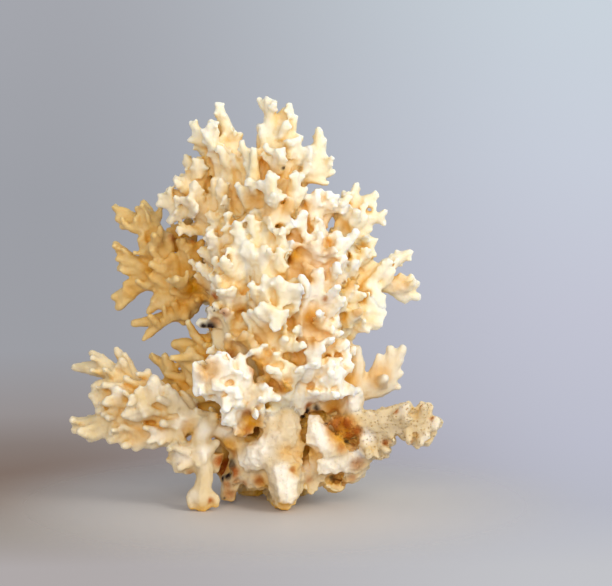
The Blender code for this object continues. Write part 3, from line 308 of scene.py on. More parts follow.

# The low left fan: a short branch in the shade above the low left arm, with its fingers side by side in one
# plane. Its honey colour is partly stain and partly painted shade.
SLOTS["low_left_fan"] = "honey_coral"
LIMBS["low_left_fan"] = [
    [(-7, 31, 3, 6), (-16, 34, -2, 5), (-24, 37, -3, 4.2), (-31, 41, -4, 4), (-36.6, 45.6, -5, 3.2),
     (-41, 50.3, -6, 2.2), (-44.8, 53, -6, 1.3)],
    [(-37, 47, -4, 2.4), (-40, 53.2, -3, 1.4)],
    [(-22, 38, 0, 4), (-25.5, 47, 3, 3.8), (-27.5, 54, 4, 3.2), (-26.5, 59.6, 4, 2)],
    [(-27, 50, 4, 3), (-30.6, 54.6, 7, 2.4)],
    [(-26, 55, 2, 3), (-32, 57, 1, 2.8), (-36.2, 57.2, 0, 2.2)],
    [(-27, 51, 1, 2.6), (-33, 55, 0, 2)],
    [(-23, 46, 0, 4), (-21.5, 53, 1, 4), (-22.4, 58, 1, 2.6), (-24, 60.4, 2, 1.6)],
    [(-18, 44, 0, 5), (-17, 54, 0, 4.4), (-18.4, 61, 0, 2.2)],
    [(-28, 44, 2, 3.4), (-33.4, 51, 0, 2.2)],
    [(-30, 41, -4, 3), (-33, 44, -14, 2.2), (-34, 46, -20, 1.5)],
]

# The front left cluster: a tuft of slim fingers that grew forwards from the base, low on the front. It
# stands in the light, and the pale stone laid on it, the whitest of the colony, is painted light.
SLOTS["front_left_cluster"] = "pale_coral"
LIMBS["front_left_cluster"] = [
    [(-9, 28, 13, 4.8), (-15, 36, 20, 4.8), (-18.6, 43, 25, 4.2), (-20, 48, 28, 2.8)],
    [(-21, 43, 27, 2.8), (-28.6, 48.2, 30, 1.4)],
    [(-20, 45, 28, 2.1), (-23.3, 52, 30, 1.4)],
    [(-19.8, 46, 28, 2.1), (-20.2, 53.3, 29, 1.3)],
    [(-17.5, 45, 28, 2.1), (-17, 52, 30, 1.3)],
    [(-14, 41, 26, 2.8), (-12.3, 52, 28, 1.8)],
    [(-12, 38, 24, 2.8), (-9.4, 47.5, 28, 1.6)],
    [(-21, 42, 26, 2.6), (-27.8, 39.8, 29, 1.5)],
    [(-17, 40, 25, 2.6), (-17.5, 34.2, 30, 1.5)],
    [(-10, 37, 21, 3), (-4, 38.3, 27, 2.2), (0.6, 38, 30, 1.5)],
    [(-12, 30, 16, 3.2), (-17.6, 29.8, 22, 2)],
    [(-9, 40, 22, 2.4), (-3.8, 42, 29, 1.4)],
]

# The upper left arm: a tall branch that forks again and again into slim smooth fingers. Its skeleton is
# honey coloured with brown in the forks, partly stain and partly painted shade, and it grew out of the
# centre left limb.
SLOTS["upper_left_arm"] = "honey_coral"
LIMBS["upper_left_arm"] = [
    [(-14, 68, 4, 5.4), (-21, 76.4, -1, 4.6), (-29, 77.4, -5, 4.8), (-35, 79.4, -6, 4.8),
     (-39.8, 86, -6, 3.8), (-42, 94, -6, 3.3), (-44, 101, -6, 2.5), (-47.8, 108.6, -7, 1.3)],
    [(-43.5, 99, -5, 2.4), (-50, 106.6, -4, 1.5)],
    [(-43, 97, -6, 2.6), (-48.6, 101, -7, 2.8), (-54, 104.4, -8, 2.4), (-59, 107.2, -9, 1.1)],
    [(-50, 101.6, -7, 2), (-57, 103, -7, 1.5)],
    [(-45, 98.6, -6, 2.4), (-51, 100.2, -5, 2), (-55.6, 100, -5, 1.4)],
    [(-41, 91, -6, 3), (-46, 92, -5, 2.8), (-49.4, 95.2, -3, 1.3)],
    [(-41, 89, -6, 3), (-47, 91, -6, 2.2)],
    [(-40, 84, -6, 3.6), (-47, 84.4, -7, 2.8), (-52.4, 88.6, -8, 2.2), (-58.2, 94.2, -8, 1.2)],
    [(-50, 87, -7, 2), (-57, 88.2, -6, 1.4)],
    [(-47, 83.8, -7, 2.4), (-56.5, 85, -8, 1.5)],
    [(-35, 77.6, -6, 4.2), (-43, 79.4, -7, 3.4), (-50, 79.4, -7, 2.6), (-54, 79.2, -7, 1.6)],
    [(-48, 78.8, -7, 2.4), (-53, 76.4, -8, 2.6), (-58.6, 74.4, -9, 1.5)],
    [(-52, 76, -8, 2.6), (-56.6, 71, -9, 1.8)],
    [(-31, 70.5, -5, 3.8), (-41, 66.8, -6, 2.5), (-51.2, 64.9, -6, 1.5)],
    [(-36, 68.6, -4, 2.8), (-42.4, 64.4, -3, 2), (-47.7, 59, -2, 1.1)],
    [(-36, 74, -4, 3), (-41.5, 73, -3, 2.2), (-45.8, 69, -2, 1.3)],
    [(-31, 73, -5, 4.2), (-33, 65.4, -5, 1.8)],
    [(-35.5, 78, -8, 3.4), (-33, 86, -11, 2.2), (-32, 94, -12, 3), (-31.4, 101.6, -12, 2)],
    [(-33, 91, -11, 2.6), (-35.4, 99, -11, 2.4)],
    [(-31, 92, -12, 2.6), (-29.6, 97, -12, 1.8)],
    [(-40, 88, -8, 2.2), (-38, 95, -10, 2), (-38.4, 99, -10, 1.3)],
    [(-30, 80, -4, 3.4), (-31.5, 88, -3, 2.8), (-35.3, 94.8, -1, 1.2)],
    [(-31, 87, -3, 2.4), (-32.5, 95.5, -1, 1.1)],
    [(-28, 84, -3, 3), (-28.4, 90, -2, 2.2), (-26.4, 94.4, -1, 1.2)],
    [(-34, 79, -8, 3.6), (-38, 82, -17, 2.8), (-41, 86, -24, 1.7)],
    [(-40, 86, -7, 2.8), (-44, 91, -14, 2.2), (-45, 97, -19, 1.5)],
    [(-30, 77, -4, 3.2), (-34, 79, 6, 2.4), (-36, 81, 12, 1.6)],
    [(-42, 93, -4, 2.2), (-44, 97, 4, 1.5)],
]

# The left shoulder: short ivory branches that lean out between the arm and the left crown, each ending in
# blunt fingers. They grew from the top of the centre left limb.
SLOTS["left_shoulder"] = "ivory_coral"
LIMBS["left_shoulder"] = [
    [(-15, 101, 4, 4.4), (-23, 105, 4, 4), (-31, 107, 4, 3.4), (-38, 108.2, 4, 2), (-41.4, 108.2, 4, 1.5)],
    [(-37, 108.6, 4, 2), (-41, 111, 4, 1.3)],
    [(-33, 106, 5, 3), (-37.6, 102.4, 6, 1.7)],
    [(-26, 106, 4, 4), (-29, 113, 3, 3.6), (-30, 119, 2, 3), (-32, 124.8, 2, 1.3)],
    [(-29, 118, 3, 2.8), (-27.6, 124, 4, 1.7)],
    [(-23, 108, -1, 3.4), (-24.6, 117, -2, 2.8), (-25.2, 124, -3, 1.8)],
    [(-30, 114.4, 3, 2.4), (-35.4, 117.2, 4, 1.5)],
    [(-31, 110, 3, 2.2), (-38.6, 113.2, 3, 1.1)],
    [(-18, 104, 8, 2.2), (-20.4, 113.4, 11, 1.3)],
    [(-21, 99, 2, 4), (-27.6, 100, 2, 2.8)],
    [(-17, 88, 4, 4), (-22.6, 89.4, 3, 2.4)],
    [(-24, 106, 2, 3), (-29, 108, -10, 2.2), (-31, 111, -16, 1.5)],
    [(-30, 107, 6, 2.4), (-31, 110, 13, 1.6)],
]

# The left crown: a broad smooth blade of ivory skeleton with fingers at its head, and a slimmer blade
# before it. It carries on from the centre left limb.
SLOTS["left_crown"] = "ivory_coral"
LIMBS["left_crown"] = [
    [(-15, 99, 8, 4.4), (-15, 108, 6, 5), (-15.6, 117, 4, 5.2), (-16, 124, 3, 4.8), (-16.2, 130, 2, 3.6),
     (-18, 136, 2, 2.6), (-20.3, 143.4, 2, 1.7)],
    [(-19, 117, 3, 3.4), (-20.5, 124, 3, 3), (-22.6, 131, 7, 2.6), (-23.2, 137, 8, 1.5)],
    [(-15, 127, 3, 2.6), (-13, 133, 4, 1.3)],
    [(-21, 128.6, 3, 2.4), (-27, 134.2, 3, 1.6), (-30.2, 137.4, 2, 1.1)],
    [(-22, 130, 3, 2.2), (-30.6, 131.4, 3, 1.3)],
    [(-7, 104, 14, 3.4), (-7.5, 116, 15, 2.8), (-9, 123, 14, 2.3), (-12, 130, 13, 1.3)],
    [(-8, 119, 15, 2.2), (-7.8, 127.6, 17, 1.3)],
    [(-9, 107, 15, 2.6), (-13.3, 114.7, 15, 1.4)],
    [(-11, 112, 6, 4), (-9.6, 119, 7, 3.6), (-9.8, 126, 7, 2.6)],
    [(-15, 116, 2, 3.4), (-17, 122, -8, 2.4), (-18, 129, -12, 1.6)],
]

# The middle of the colony: three upright limbs of ivory skeleton and the crowns on them. Where they
# touched, they grew together, so short cross runs join them.
SLOTS["centre_left_limb"] = "ivory_coral"
LIMBS["centre_left_limb"] = [
    [(-3, 35, 6, 6.4), (-9.5, 48, 10, 6), (-13, 61, 12, 5.8), (-15, 74, 12, 5.6), (-15.5, 88, 11, 5.2),
     (-15, 99, 9, 4.6)],
    [(-16, 71, 15, 2.8), (-20.4, 80.8, 21, 1.9)],
    [(-15, 78, 17, 2.8), (-15, 86, 20, 2.5), (-16.4, 92, 20, 1.7)],
    [(-13, 86, 15, 2.8), (-12, 94, 19, 2.2), (-14, 100.3, 19, 1.6)],
    [(-13, 71, 17, 2.8), (-15, 77, 22, 1.9)],
    [(-18, 86, 11, 3.4), (-22, 93, 11, 2.4), (-23.3, 98, 12, 1.6)],
    [(-17, 82, 8, 3.6), (-24, 82, 4, 3.2), (-28, 79, 0, 3)],
    [(-17, 84, 6, 4.4), (-22.6, 88, 4, 3)],
    [(-14, 67, 13, 3.2), (-20, 69, 13, 2.9), (-22.6, 69.3, 13, 2)],
    [(-14, 65.4, 11, 2.8), (-20, 65, 11, 2.2), (-26.2, 65, 11, 1.8)],
    [(-13, 56, 9, 4), (-14.5, 58, 12, 2.8)],
    [(-10, 55, 14, 3), (-9.6, 56.8, 22, 1.7)],
    [(-10, 49, 10, 5), (-5, 47, 12, 5.2), (0, 46, 13, 4.6)],
    [(-14, 62, 12, 4.8), (-7, 62, 14, 5), (-1, 61, 16, 4.6)],
    [(-15, 74, 12, 4.6), (-8, 76, 14, 5), (-3, 77, 17, 4.4)],
    [(-15.5, 87, 11, 4.4), (-9, 86, 14, 4.6), (-3, 87, 17, 4)],
    [(-15, 98, 9, 4), (-9, 98, 12, 4.4), (-3, 98, 15, 4)],
]

SLOTS["centre_limb"] = "ivory_coral"
LIMBS["centre_limb"] = [
    [(1, 33, 8, 7), (0, 47, 14, 6.8), (-1, 60, 18, 6.4), (-2, 74, 20, 6), (-2.6, 88, 19, 5.4),
     (-3, 100, 15, 4.8)],
    [(-3, 68, 24, 2.6), (2, 66, 29, 2.3), (0, 64, 31, 1.8)],
    [(2, 69, 23, 3.2), (4.6, 76.6, 28, 2)],
    [(0, 74, 23, 2.8), (2, 79.8, 29, 1.9)],
    [(1, 81, 22, 3), (2, 90.5, 26, 1.8)],
    [(0, 89, 20, 2.6), (2.7, 98.2, 24, 1.4)],
    [(-4, 78, 22, 2.8), (-3.6, 91.6, 24, 1.9)],
    [(-5, 84, 20, 2.6), (-8.5, 92.3, 23, 1.6)],
    [(-5, 97, 18, 2.4), (-8, 103.2, 20, 1.5)],
    [(0, 50, 20, 3.4), (0.6, 53.2, 27, 1.6)],
    [(-3, 51, 20, 2.8), (-6, 54.3, 27, 1.5)],
    [(0, 46, 19, 3), (-3.2, 48.6, 27, 1.4)],
    [(2, 41, 17, 3.4), (1.2, 46.6, 28, 1.8)],
    [(4, 41, 18, 3), (7.4, 47.8, 27, 1.7)],
    [(2, 56, 21, 3), (3.6, 59.4, 28, 1.5)],
]

SLOTS["centre_crown"] = "ivory_coral"
LIMBS["centre_crown"] = [
    [(-3, 97, 14, 4.8), (-1, 110, 12, 4.6), (0, 118, 10, 4.4), (0, 126, 9, 3.8), (-1.4, 133, 8, 2.8),
     (-1.7, 139, 8, 2.3), (-2.7, 145.8, 8, 1.6)],
    [(-1.5, 141, 8, 1.8), (-0.8, 144.9, 9, 1.3)],
    [(-3, 142, 7, 1.5), (-5.6, 145.8, 6, 1)],
    [(-2, 125, 9, 3), (-4.9, 135.8, 9, 1.4)],
    [(-3, 116, 4, 3.4), (-5, 127, 3, 2.2), (-5.2, 135, 3, 1.1)],
    [(2, 118, 9, 3.6), (4.4, 128, 9, 3.4), (5, 136, 8, 2.4), (5.3, 143.6, 8, 1.4)],
    [(2, 130, 8, 2.8), (2, 138, 7, 1.9), (3.2, 142, 6, 1.3)],
    [(5, 133, 8, 2), (7.4, 139.4, 9, 1.3)],
    [(5, 128, 9, 2.4), (9, 131.6, 10, 1.3)],
    [(4.5, 124, 9, 2.8), (8.6, 127.6, 10, 1.6)],
    [(4, 112, 8, 4), (7, 120, 7, 2.8), (8.4, 124, 7, 2)],
    [(0, 101, 19, 3.4), (-1, 108, 20, 3), (-2, 119, 20, 1.4)],
    [(4, 104, 16, 2.6), (7.2, 119, 18, 1.2)],
    [(-4, 103, 16, 2.4), (-5, 112, 14, 2.6)],
    [(0, 122, 6, 3), (2, 128, -4, 2.2), (2.4, 135, -7, 1.5)],
    [(0, 120, 12, 3), (1.6, 127, 19, 1.8)],
]

# The pale stone here is painted light: this limb stands in the light on the front right.
SLOTS["centre_right_limb"] = "pale_coral"
LIMBS["centre_right_limb"] = [
    [(7, 35, 8, 6.6), (11, 48, 14, 6.4), (13, 61, 16, 6.2), (15, 74, 16, 5.8), (16, 86, 14, 5.2),
     (14.6, 97, 12, 4.6), (13, 106, 10, 3.8)],
    [(11, 45, 19, 3), (14, 52, 25, 2.6), (13, 58, 26, 1.9)],
    [(16, 70, 19, 3), (16.3, 83, 23, 1.6)],
    [(15.4, 84, 17, 2.8), (16, 97, 21, 1.5)],
    [(20, 82, 12, 4), (22.6, 90, 15, 3.4), (22.6, 96.6, 16, 2)],
    [(18, 88, 10, 4), (19.4, 95, 10, 2.6)],
    [(11, 73, 19, 2.8), (11.5, 78.3, 26, 1.6)],
    [(7, 94, 14, 3), (10, 102.6, 19, 1.6)],
    [(14, 96, 12, 3), (16, 101.6, 14, 1.8)],
    [(7, 85, 17, 3), (8, 93, 22, 1.5)],
    [(16, 64, 17, 3.4), (20, 62.8, 22, 1.6)],
    [(15, 41, 13, 5), (21, 45, 18, 3.8), (21, 50.4, 20, 2.6)],
    [(20, 46, 15, 3.2), (26.6, 52.6, 17, 1.4)],
    [(14, 40, 14, 3), (16.2, 39.4, 20, 1.6)],
    [(17, 53, 10, 5), (24, 55, 9, 3.4)],
    [(13, 105, 10, 3.4), (15.2, 112.4, 12, 1.5)],
    [(14, 105, 10, 3.2), (19, 110.8, 11, 1.5)],
    [(15, 105.6, 10, 3), (22, 110.4, 9, 1.3)],
    [(14, 106, 10, 3), (20, 106.6, 10, 1.7), (24.2, 106.6, 10, 1.7)],
    [(11, 100, 8, 4), (10, 107, 7, 3.6)],
    [(10, 74, 8, 5), (8, 84, 6, 4)],
    [(11, 48, 14, 5), (5, 46, 13, 5), (0, 46, 13, 4.6)],
    [(13, 61, 16, 5), (7, 59, 16, 5), (1, 58, 17, 4.6)],
    [(15, 75, 16, 4.6), (7, 74, 17, 4.6), (0, 73, 19, 4.2)],
    [(16, 83, 14, 4.4), (9, 82, 14, 4.6), (2, 82, 17, 4)],
]

SLOTS["right_crown"] = "ivory_coral"
LIMBS["right_crown"] = [
    [(6, 108, 5, 3.8), (9.6, 116.6, 6, 3), (12.6, 121, 7, 3.4), (15.6, 127, 6, 2.8), (16, 134, 6, 1.7)],
    [(11.4, 119, 8, 2.6), (12, 127.8, 8, 1.5)],
    [(15, 119, 7, 2.8), (19.8, 124, 7, 1.3)],
    [(15, 118.6, 7, 2.2), (20.8, 119.8, 6, 1.2)],
    [(12, 117.4, 8, 1.8), (18.6, 115.8, 9, 0.9)],
    [(17, 128, 6, 1.6), (18, 126, 7, 1)],
    [(11, 118, 5, 2.6), (14, 123, -3, 1.8), (15, 128, -6, 1.3)],
]

# The right side: a tall limb of ivory skeleton that ends in a fan, with a forked arm and stubby knuckles on
# its outer side. Cross runs join it to the middle.
SLOTS["right_limb"] = "ivory_coral"
LIMBS["right_limb"] = [
    [(11, 39, 2, 6.8), (17, 52, 2, 6.6), (23, 66, 3, 6), (26, 76, 3, 5), (26, 84, 3, 3.8),
     (27.4, 91, 3, 3.8), (28.6, 97, 3, 3.8)],
    [(29, 95, 4, 2.6), (33, 95.6, 4, 1.8), (35.7, 94.4, 4, 1.4)],
    [(34, 95, 4, 1.6), (34.6, 91.6, 4, 1.6)],
    [(28, 88.6, 4, 3), (35.2, 90.2, 4, 1.5)],
    [(23, 64, 8, 4.8), (27, 71, 12, 3.2), (27, 77.6, 13, 2.2)],
    [(23, 86, 3, 4), (24.6, 94, 3, 3.4)],
    [(24, 68, 0, 4), (29, 72, -12, 2.6), (31, 77, -18, 1.6)],
    [(17, 52, 2, 5), (16, 50, 9, 5)],
    [(23, 65, 4, 5), (18, 64, 10, 5), (15, 62, 14, 4.4)],
    [(26, 76, 3, 4.2), (21, 76, 9, 4.8), (17, 75, 13, 4.4)],
    [(26, 84, 3, 3.4), (21, 85, 9, 4.2), (17, 86, 12, 4)],
]

SLOTS["upper_right_fan"] = "ivory_coral"
LIMBS["upper_right_fan"] = [
    [(28.8, 94, 3, 4), (29.4, 101, 3, 4), (28, 106, 3, 3.4), (28.5, 110, 3, 2.2), (29.5, 115, 3, 1.2)],
    [(30, 98, 4, 3), (33.4, 99.4, 4, 2)],
    [(25, 97, 3, 2.8), (25.4, 103, 3, 2.8), (25, 111.8, 4, 1.3)],
    [(26.5, 103, 6, 2.6), (24.6, 107.4, 9, 2), (26.2, 110, 9, 1.5)],
    [(29, 106, 3, 3), (33.5, 109.6, 3, 2.2), (37, 111, 3, 1.3)],
    [(32, 109, 4, 2), (36.4, 107.8, 4, 1.1)],
    [(29.5, 102.2, 4, 3.6), (34.6, 103.2, 4, 2.4), (38.2, 103.4, 4, 2), (39.6, 105, 4, 1.3)],
    [(37, 103, 4, 1.9), (39.2, 101.4, 4, 1.3)],
    [(29, 100, 1, 3), (31, 102, -9, 2.2), (33, 104, -15, 1.5)],
    [(29, 101, 5, 2.8), (29.6, 105, 13, 1.7)],
]

SLOTS["right_arm"] = "ivory_coral"
LIMBS["right_arm"] = [
    [(26, 72.6, 3, 4.8), (31.8, 77, 3, 4), (35.6, 81.6, 3, 3.6), (40.6, 85.4, 3, 2.8), (45, 88.6, 3, 2.2),
     (48.6, 90.4, 3, 1.6)],
    [(34, 81.6, 3, 2.8), (34.6, 86, 3, 1.7)],
    [(39, 84.6, 3, 2.2), (40, 87, 4, 1.3)],
    [(29, 85.6, 3, 2), (34, 86, 3, 1.2)],
    [(36, 80, 3, 3.4), (42, 79, 2, 3.2), (46, 78.6, 1, 3), (49.2, 81, 0, 1.5)],
    [(45, 77.6, 1, 3), (51, 79, 0, 1.5)],
    [(44, 77.8, 1, 3), (51, 74.6, 0, 1.7)],
    [(43, 78, 1, 3), (47.2, 73.6, 0, 1.8)],
    [(34.6, 81, 5, 2.8), (36, 76.6, 7, 2.4), (38.8, 72, 8, 1.6)],
    [(36, 80, 2, 2.8), (40, 79, -8, 2), (42, 79.6, -14, 1.4)],
]

SLOTS["right_knuckles"] = "ivory_coral"
LIMBS["right_knuckles"] = [
    [(22, 63, 6, 4.6), (28, 67, 8, 4.2), (33, 69.4, 8, 3.4), (39.2, 68.6, 9, 1.2)],
    [(30, 66.4, 8, 3.4), (37.8, 65, 10, 1.8)],
    [(29, 65.6, 8, 3), (35.8, 63.6, 9, 1.3)],
    [(28, 65, 8, 2.8), (33.2, 62.4, 11, 1.3)],
    [(22, 63, 8, 3.4), (25, 61.2, 10, 1.7)],
    [(29, 69, 8, 3.6), (34.6, 72.4, 9, 2)],
]

# Low on the right: a pale blade with a few fingers, and under it an old arm that is worn down to its rows
# of pores and ends in crumbling knobs. Both grew out of the base.
# The pale stone on the blade is painted light: it stands in the light low on the right.
SLOTS["right_blade"] = "pale_coral"
LIMBS["right_blade"] = [
    [(17, 36, 7, 5), (25, 40, 8, 4.8), (29, 46, 7, 3.6), (29.8, 55.4, 6, 1.9)],
    [(24, 55, 8, 2.6), (29.4, 55.4, 7, 1.8)],
    [(26, 40, 7, 4.4), (35, 41.4, 6, 4), (40, 43, 5, 3.8), (41.8, 49, 5, 3.2), (42, 55.8, 5, 1.6)],
    [(42.6, 49, 5, 2.8), (46.6, 56, 5, 1.6)],
    [(36, 43.6, 6, 3), (38, 52.8, 6, 1.4)],
    [(41.4, 47, 5, 2.6), (45.8, 51.6, 5, 1.3)],
    [(41.4, 45, 5, 2.6), (45.8, 47, 5, 1.4)],
    [(39.4, 42.4, 5, 2.8), (45, 41.8, 5, 1.3)],
    [(25, 33, 9, 4), (29.2, 37, 12, 3.6), (30, 40.2, 13, 2.4)],
    [(34, 42, 4, 3), (38, 44, -7, 2.2), (40, 46, -13, 1.5)],
    [(38, 43, 7, 2.8), (40, 45, 15, 1.6)],
]

SLOTS["low_right_arm"] = "ivory_coral"
LIMBS["low_right_arm"] = [
    [(19, 25, 8, 5.6), (29, 28.5, 12, 5), (38, 29, 14, 4.6), (46, 29.2, 15, 5), (52, 28.8, 15, 4.6),
     (56.6, 28.2, 15, 3)],
    [(38, 31, 15, 3), (47.6, 34.4, 16, 2)],
    [(51, 30, 15, 3), (53.5, 34.8, 15, 1.6)],
    [(53, 30, 15, 2.8), (56, 34.2, 15, 1.5)],
    [(54, 29.4, 15, 3), (58.8, 28.8, 15, 2.2)],
    [(52, 27, 15, 3.2), (56.6, 25, 15, 1.8)],
    [(50, 26, 15, 3.4), (54.8, 22, 15, 1.8)],
    [(47.5, 26, 15, 3.4), (51, 21.4, 15, 2)],
    [(39, 26, 14, 3.6), (42.6, 22, 14, 1.6)],
    [(31, 24, 12, 4.4), (37, 20.6, 12, 3.2), (40.6, 18.4, 12, 1.6)],
    [(30, 20, 11, 3.6), (38.4, 16.5, 12, 1.5)],
    [(44, 29, 12, 3.4), (47.4, 30, 6, 2.4), (49, 31, 1, 1.6)],
    [(46, 29, 18, 3), (48, 30, 22.5, 1.8)],
]

# The limbs behind: ivory skeleton, grown the same way. They are hidden from the front, so they are placed
# as such a colony spreads.
SLOTS["back_low_left_limb"] = "ivory_coral"
LIMBS["back_low_left_limb"] = [
    [(-6, 25, -9, 6.5), (-14, 29, -20, 5.4), (-21, 34, -28, 4.2), (-25.5, 40, -33, 3), (-27, 46, -36, 1.7)],
    [(-19, 32, -26, 3.2), (-24, 28, -36, 1.7)],
    [(-21, 34, -28, 2.8), (-15, 40, -39, 1.7)],
    [(-12, 28, -18, 3.6), (-9, 30, -32, 2.4), (-8, 35, -40, 1.6)],
    [(-22, 35, -28, 2.6), (-31, 33, -33, 1.5)],
]

SLOTS["back_low_right_limb"] = "ivory_coral"
LIMBS["back_low_right_limb"] = [
    [(8, 25, -9, 6.5), (15, 29, -19, 5.4), (22, 34, -27, 4.4), (27, 41, -31, 3.2), (29, 50, -33, 1.8)],
    [(20, 32, -25, 3.4), (27, 27, -34, 1.7)],
    [(21, 33, -26, 3), (16, 38, -38, 1.7)],
    [(24, 37, -29, 2.8), (24, 46, -38, 1.6)],
    [(14, 29, -18, 3.6), (9, 30, -32, 1.8)],
]

SLOTS["back_left_limb"] = "ivory_coral"
LIMBS["back_left_limb"] = [
    [(-6, 37, -6, 6.4), (-12, 50, -18, 5.6), (-14.6, 62, -24, 5), (-18, 74, -28, 4.4), (-24, 81, -31, 3.6),
     (-31, 84, -36, 1.8)],
    [(-19, 76, -29, 3.8), (-18, 88, -35, 3.2), (-17, 98, -38, 2.6), (-18, 107, -38, 1.6)],
    [(-12, 52, -20, 3.6), (-20, 49, -30, 2.6), (-26, 50, -36, 1.6)],
    [(-14, 64, -25, 3.4), (-10, 68, -38, 2.4), (-11, 74, -43, 1.6)],
    [(-18, 74, -29, 3), (-24, 78, -40, 1.7)],
    [(-17.6, 92, -36, 2.6), (-11, 96, -41, 1.6)],
    [(-13, 58, -21, 3.6), (-18, 64, -30, 2.4), (-18, 70, -36, 1.6)],
    [(-17, 70, -26, 3.2), (-8, 76, -30, 2.4), (-5, 82, -32, 1.6)],
]

SLOTS["back_right_limb"] = "ivory_coral"
LIMBS["back_right_limb"] = [
    [(8, 37, -6, 6.4), (14, 52, -18, 5.6), (19, 66, -24, 5.2), (22, 79, -27, 4.6), (24, 90, -29, 3.8),
     (28, 98, -29, 3), (29, 106, -28, 1.8)],
    [(16, 58, -21, 3.8), (24, 58, -31, 2.6), (27, 62, -37, 1.6)],
    [(20, 70, -25, 3.6), (27, 73, -34, 2.6), (29, 78, -39, 1.6)],
    [(22, 80, -28, 3.2), (17, 86, -38, 2.4), (17, 93, -41, 1.6)],
    [(24, 89, -29, 3), (30, 92, -36, 1.6)],
    [(19, 66, -25, 3), (14, 70, -38, 1.7)],
    [(14, 52, -18, 3.6), (8, 56, -30, 2.4), (8, 62, -36, 1.6)],
]

SLOTS["back_centre_limb"] = "ivory_coral"
LIMBS["back_centre_limb"] = [
    [(0, 41, -9, 7), (0, 56, -20, 6.2), (1, 71, -28, 5.6), (0, 85, -33, 5), (2, 98, -35, 4.2),
     (3, 110, -34, 3), (4, 118, -33, 1.7)],
    [(0, 60, -23, 4), (-5, 62, -36, 2.8), (-7, 68, -43, 1.7)],
    [(1, 66, -26, 3.6), (8, 68, -38, 2.6), (9, 74, -44, 1.6)],
    [(0, 80, -32, 3.6), (-6, 86, -42, 2.4), (-7, 93, -45, 1.6)],
    [(1, 88, -34, 3.4), (8, 93, -42, 2.4), (9, 100, -44, 1.6)],
    [(2, 98, -35, 3), (-4, 106, -40, 2.2), (-5, 113, -40, 1.5)],
    [(0, 50, -17, 4), (2, 50, -32, 2.4), (2, 55, -39, 1.6)],
    [(1, 76, -30, 3.4), (10, 80, -32, 2.4), (12, 86, -34, 1.6)],
    [(1, 92, -34, 3), (-6, 98, -31, 2.2), (-9, 104, -31, 1.5)],
]

SLOTS["back_crown_left"] = "ivory_coral"
LIMBS["back_crown_left"] = [
    [(-5, 62, -2, 5.6), (-7.5, 80, -4, 5.2), (-8.5, 97, -9, 4.8), (-11, 109, -13, 4.2), (-14, 120, -15, 3),
     (-15.5, 128, -16, 1.7)],
    [(-9, 99, -10, 3.6), (-17, 108, -18, 2.8), (-20, 117, -20, 1.6)],
    [(-10, 105, -12, 3.2), (-8, 113, -22, 2.4), (-8, 121, -24, 1.5)],
    [(-8, 95, -9, 3.4), (-14, 98, -22, 2.2), (-15, 104, -26, 1.5)],
    [(-11, 110, -13, 3), (-5, 118, -14, 1.7)],
]

SLOTS["back_crown_right"] = "ivory_coral"
LIMBS["back_crown_right"] = [
    [(5, 58, -2, 5.6), (6, 78, -4, 5.2), (7, 94, -9, 4.6), (6, 106, -13, 3.8), (3, 116, -15, 2.8),
     (2, 125, -16, 1.7)],
    [(7, 94, -9, 3.4), (10.6, 100, -16, 2.6), (11, 108, -18, 1.6)],
    [(7, 91, -8, 3.4), (10, 93, -22, 2.2), (11, 98, -26, 1.5)],
    [(5.6, 105, -13, 3), (5, 110, -24, 1.7)],
    [(7.4, 84, -5, 3.8), (15, 87, -12, 3), (18, 93, -15, 1.8)],
]

# Growing together: the runs, with the small nubs that each carries, thicken until they touch, become one
# skin, and thin again, which leaves the soft webs of real coral at the forks.
SKIN_CELL = 0.58      # mm, grain of the skin
THICKEN = 0.25             # mm
NUB_SPACING = 2.6          # mm along a run
NUB_SEED = 7
THICKEST_WITH_NUBS = 5.2   # mm, radius from which a run is too old to carry nubs
THINNEST_LOBE = 0.8        # mm
THICKEST_LOBE = 1.1
CURVE_STEPS = 5
TIP_ROUNDING = ((0.6, 0.75), (0.95, 0.3))    # past a tip: how far and how thick, as shares of its radius
TO_VIEWER = Vector((0, -1, 0))
HEAD_ON = 0.3              # sine of the angle to the viewer, below which a finger comes straight at the eye
SMOOTH_LIMBS = ("holdfast", "left_stilt", "upper_left_arm", "low_left_arm", "low_left_fan", "right_blade")
AXIS_STEP = 1.5            # mm between the spots kept along the axis of every run
INSIDE_BOX = 0.8           # mm, the axis of a run stays this far inside the front and back of the CAD nodes
FRONT_MOST = cad_low[1] / MM + INSIDE_BOX
BACK_MOST = cad_high[1] / MM - INSIDE_BOX

luck = random.Random(NUB_SEED)
tips = []
axis_spots = []
axis_radii = []


def lay_run(skeleton, spots, radii):
    """One tapered run with a rounded tip, as a spline of the skeleton. Places are in mm."""
    spots = [Vector((spot.x, min(max(spot.y, FRONT_MOST), BACK_MOST), spot.z)) for spot in spots]
    for start, end, first, last in zip(spots, spots[1:], radii, radii[1:]):
        steps = max(1, int((end - start).length / AXIS_STEP))
        axis_spots.extend(start.lerp(end, step / steps) * MM for step in range(steps + 1))
        axis_radii.extend((first + (last - first) * step / steps) * MM for step in range(steps + 1))
    heading = (spots[-1] - spots[-2]).normalized()
    tip_radius = radii[-1]
    tips.append(spots[-1] + heading * tip_radius)
    spots = spots + [spots[-1] + heading * tip_radius * past for past, _ in TIP_ROUNDING]
    radii = radii + [tip_radius * share for _, share in TIP_ROUNDING]
    spline = skeleton.splines.new("BEZIER")
    spline.bezier_points.add(len(spots) - 1)
    for point, spot, radius in zip(spline.bezier_points, spots, radii):
        point.co = spot * MM
        point.radius = radius + THICKEN
        point.handle_left_type = "AUTO"
        point.handle_right_type = "AUTO"


def sideways(heading, turn):
    """Direction square to a heading, turned round it. At no turn it lies in the plane of the fan."""
    side = heading.cross(TO_VIEWER)
    if side.length < HEAD_ON:
        side = heading.orthogonal()
    side.normalize()
    return side * math.cos(turn) + heading.cross(side) * math.sin(turn)


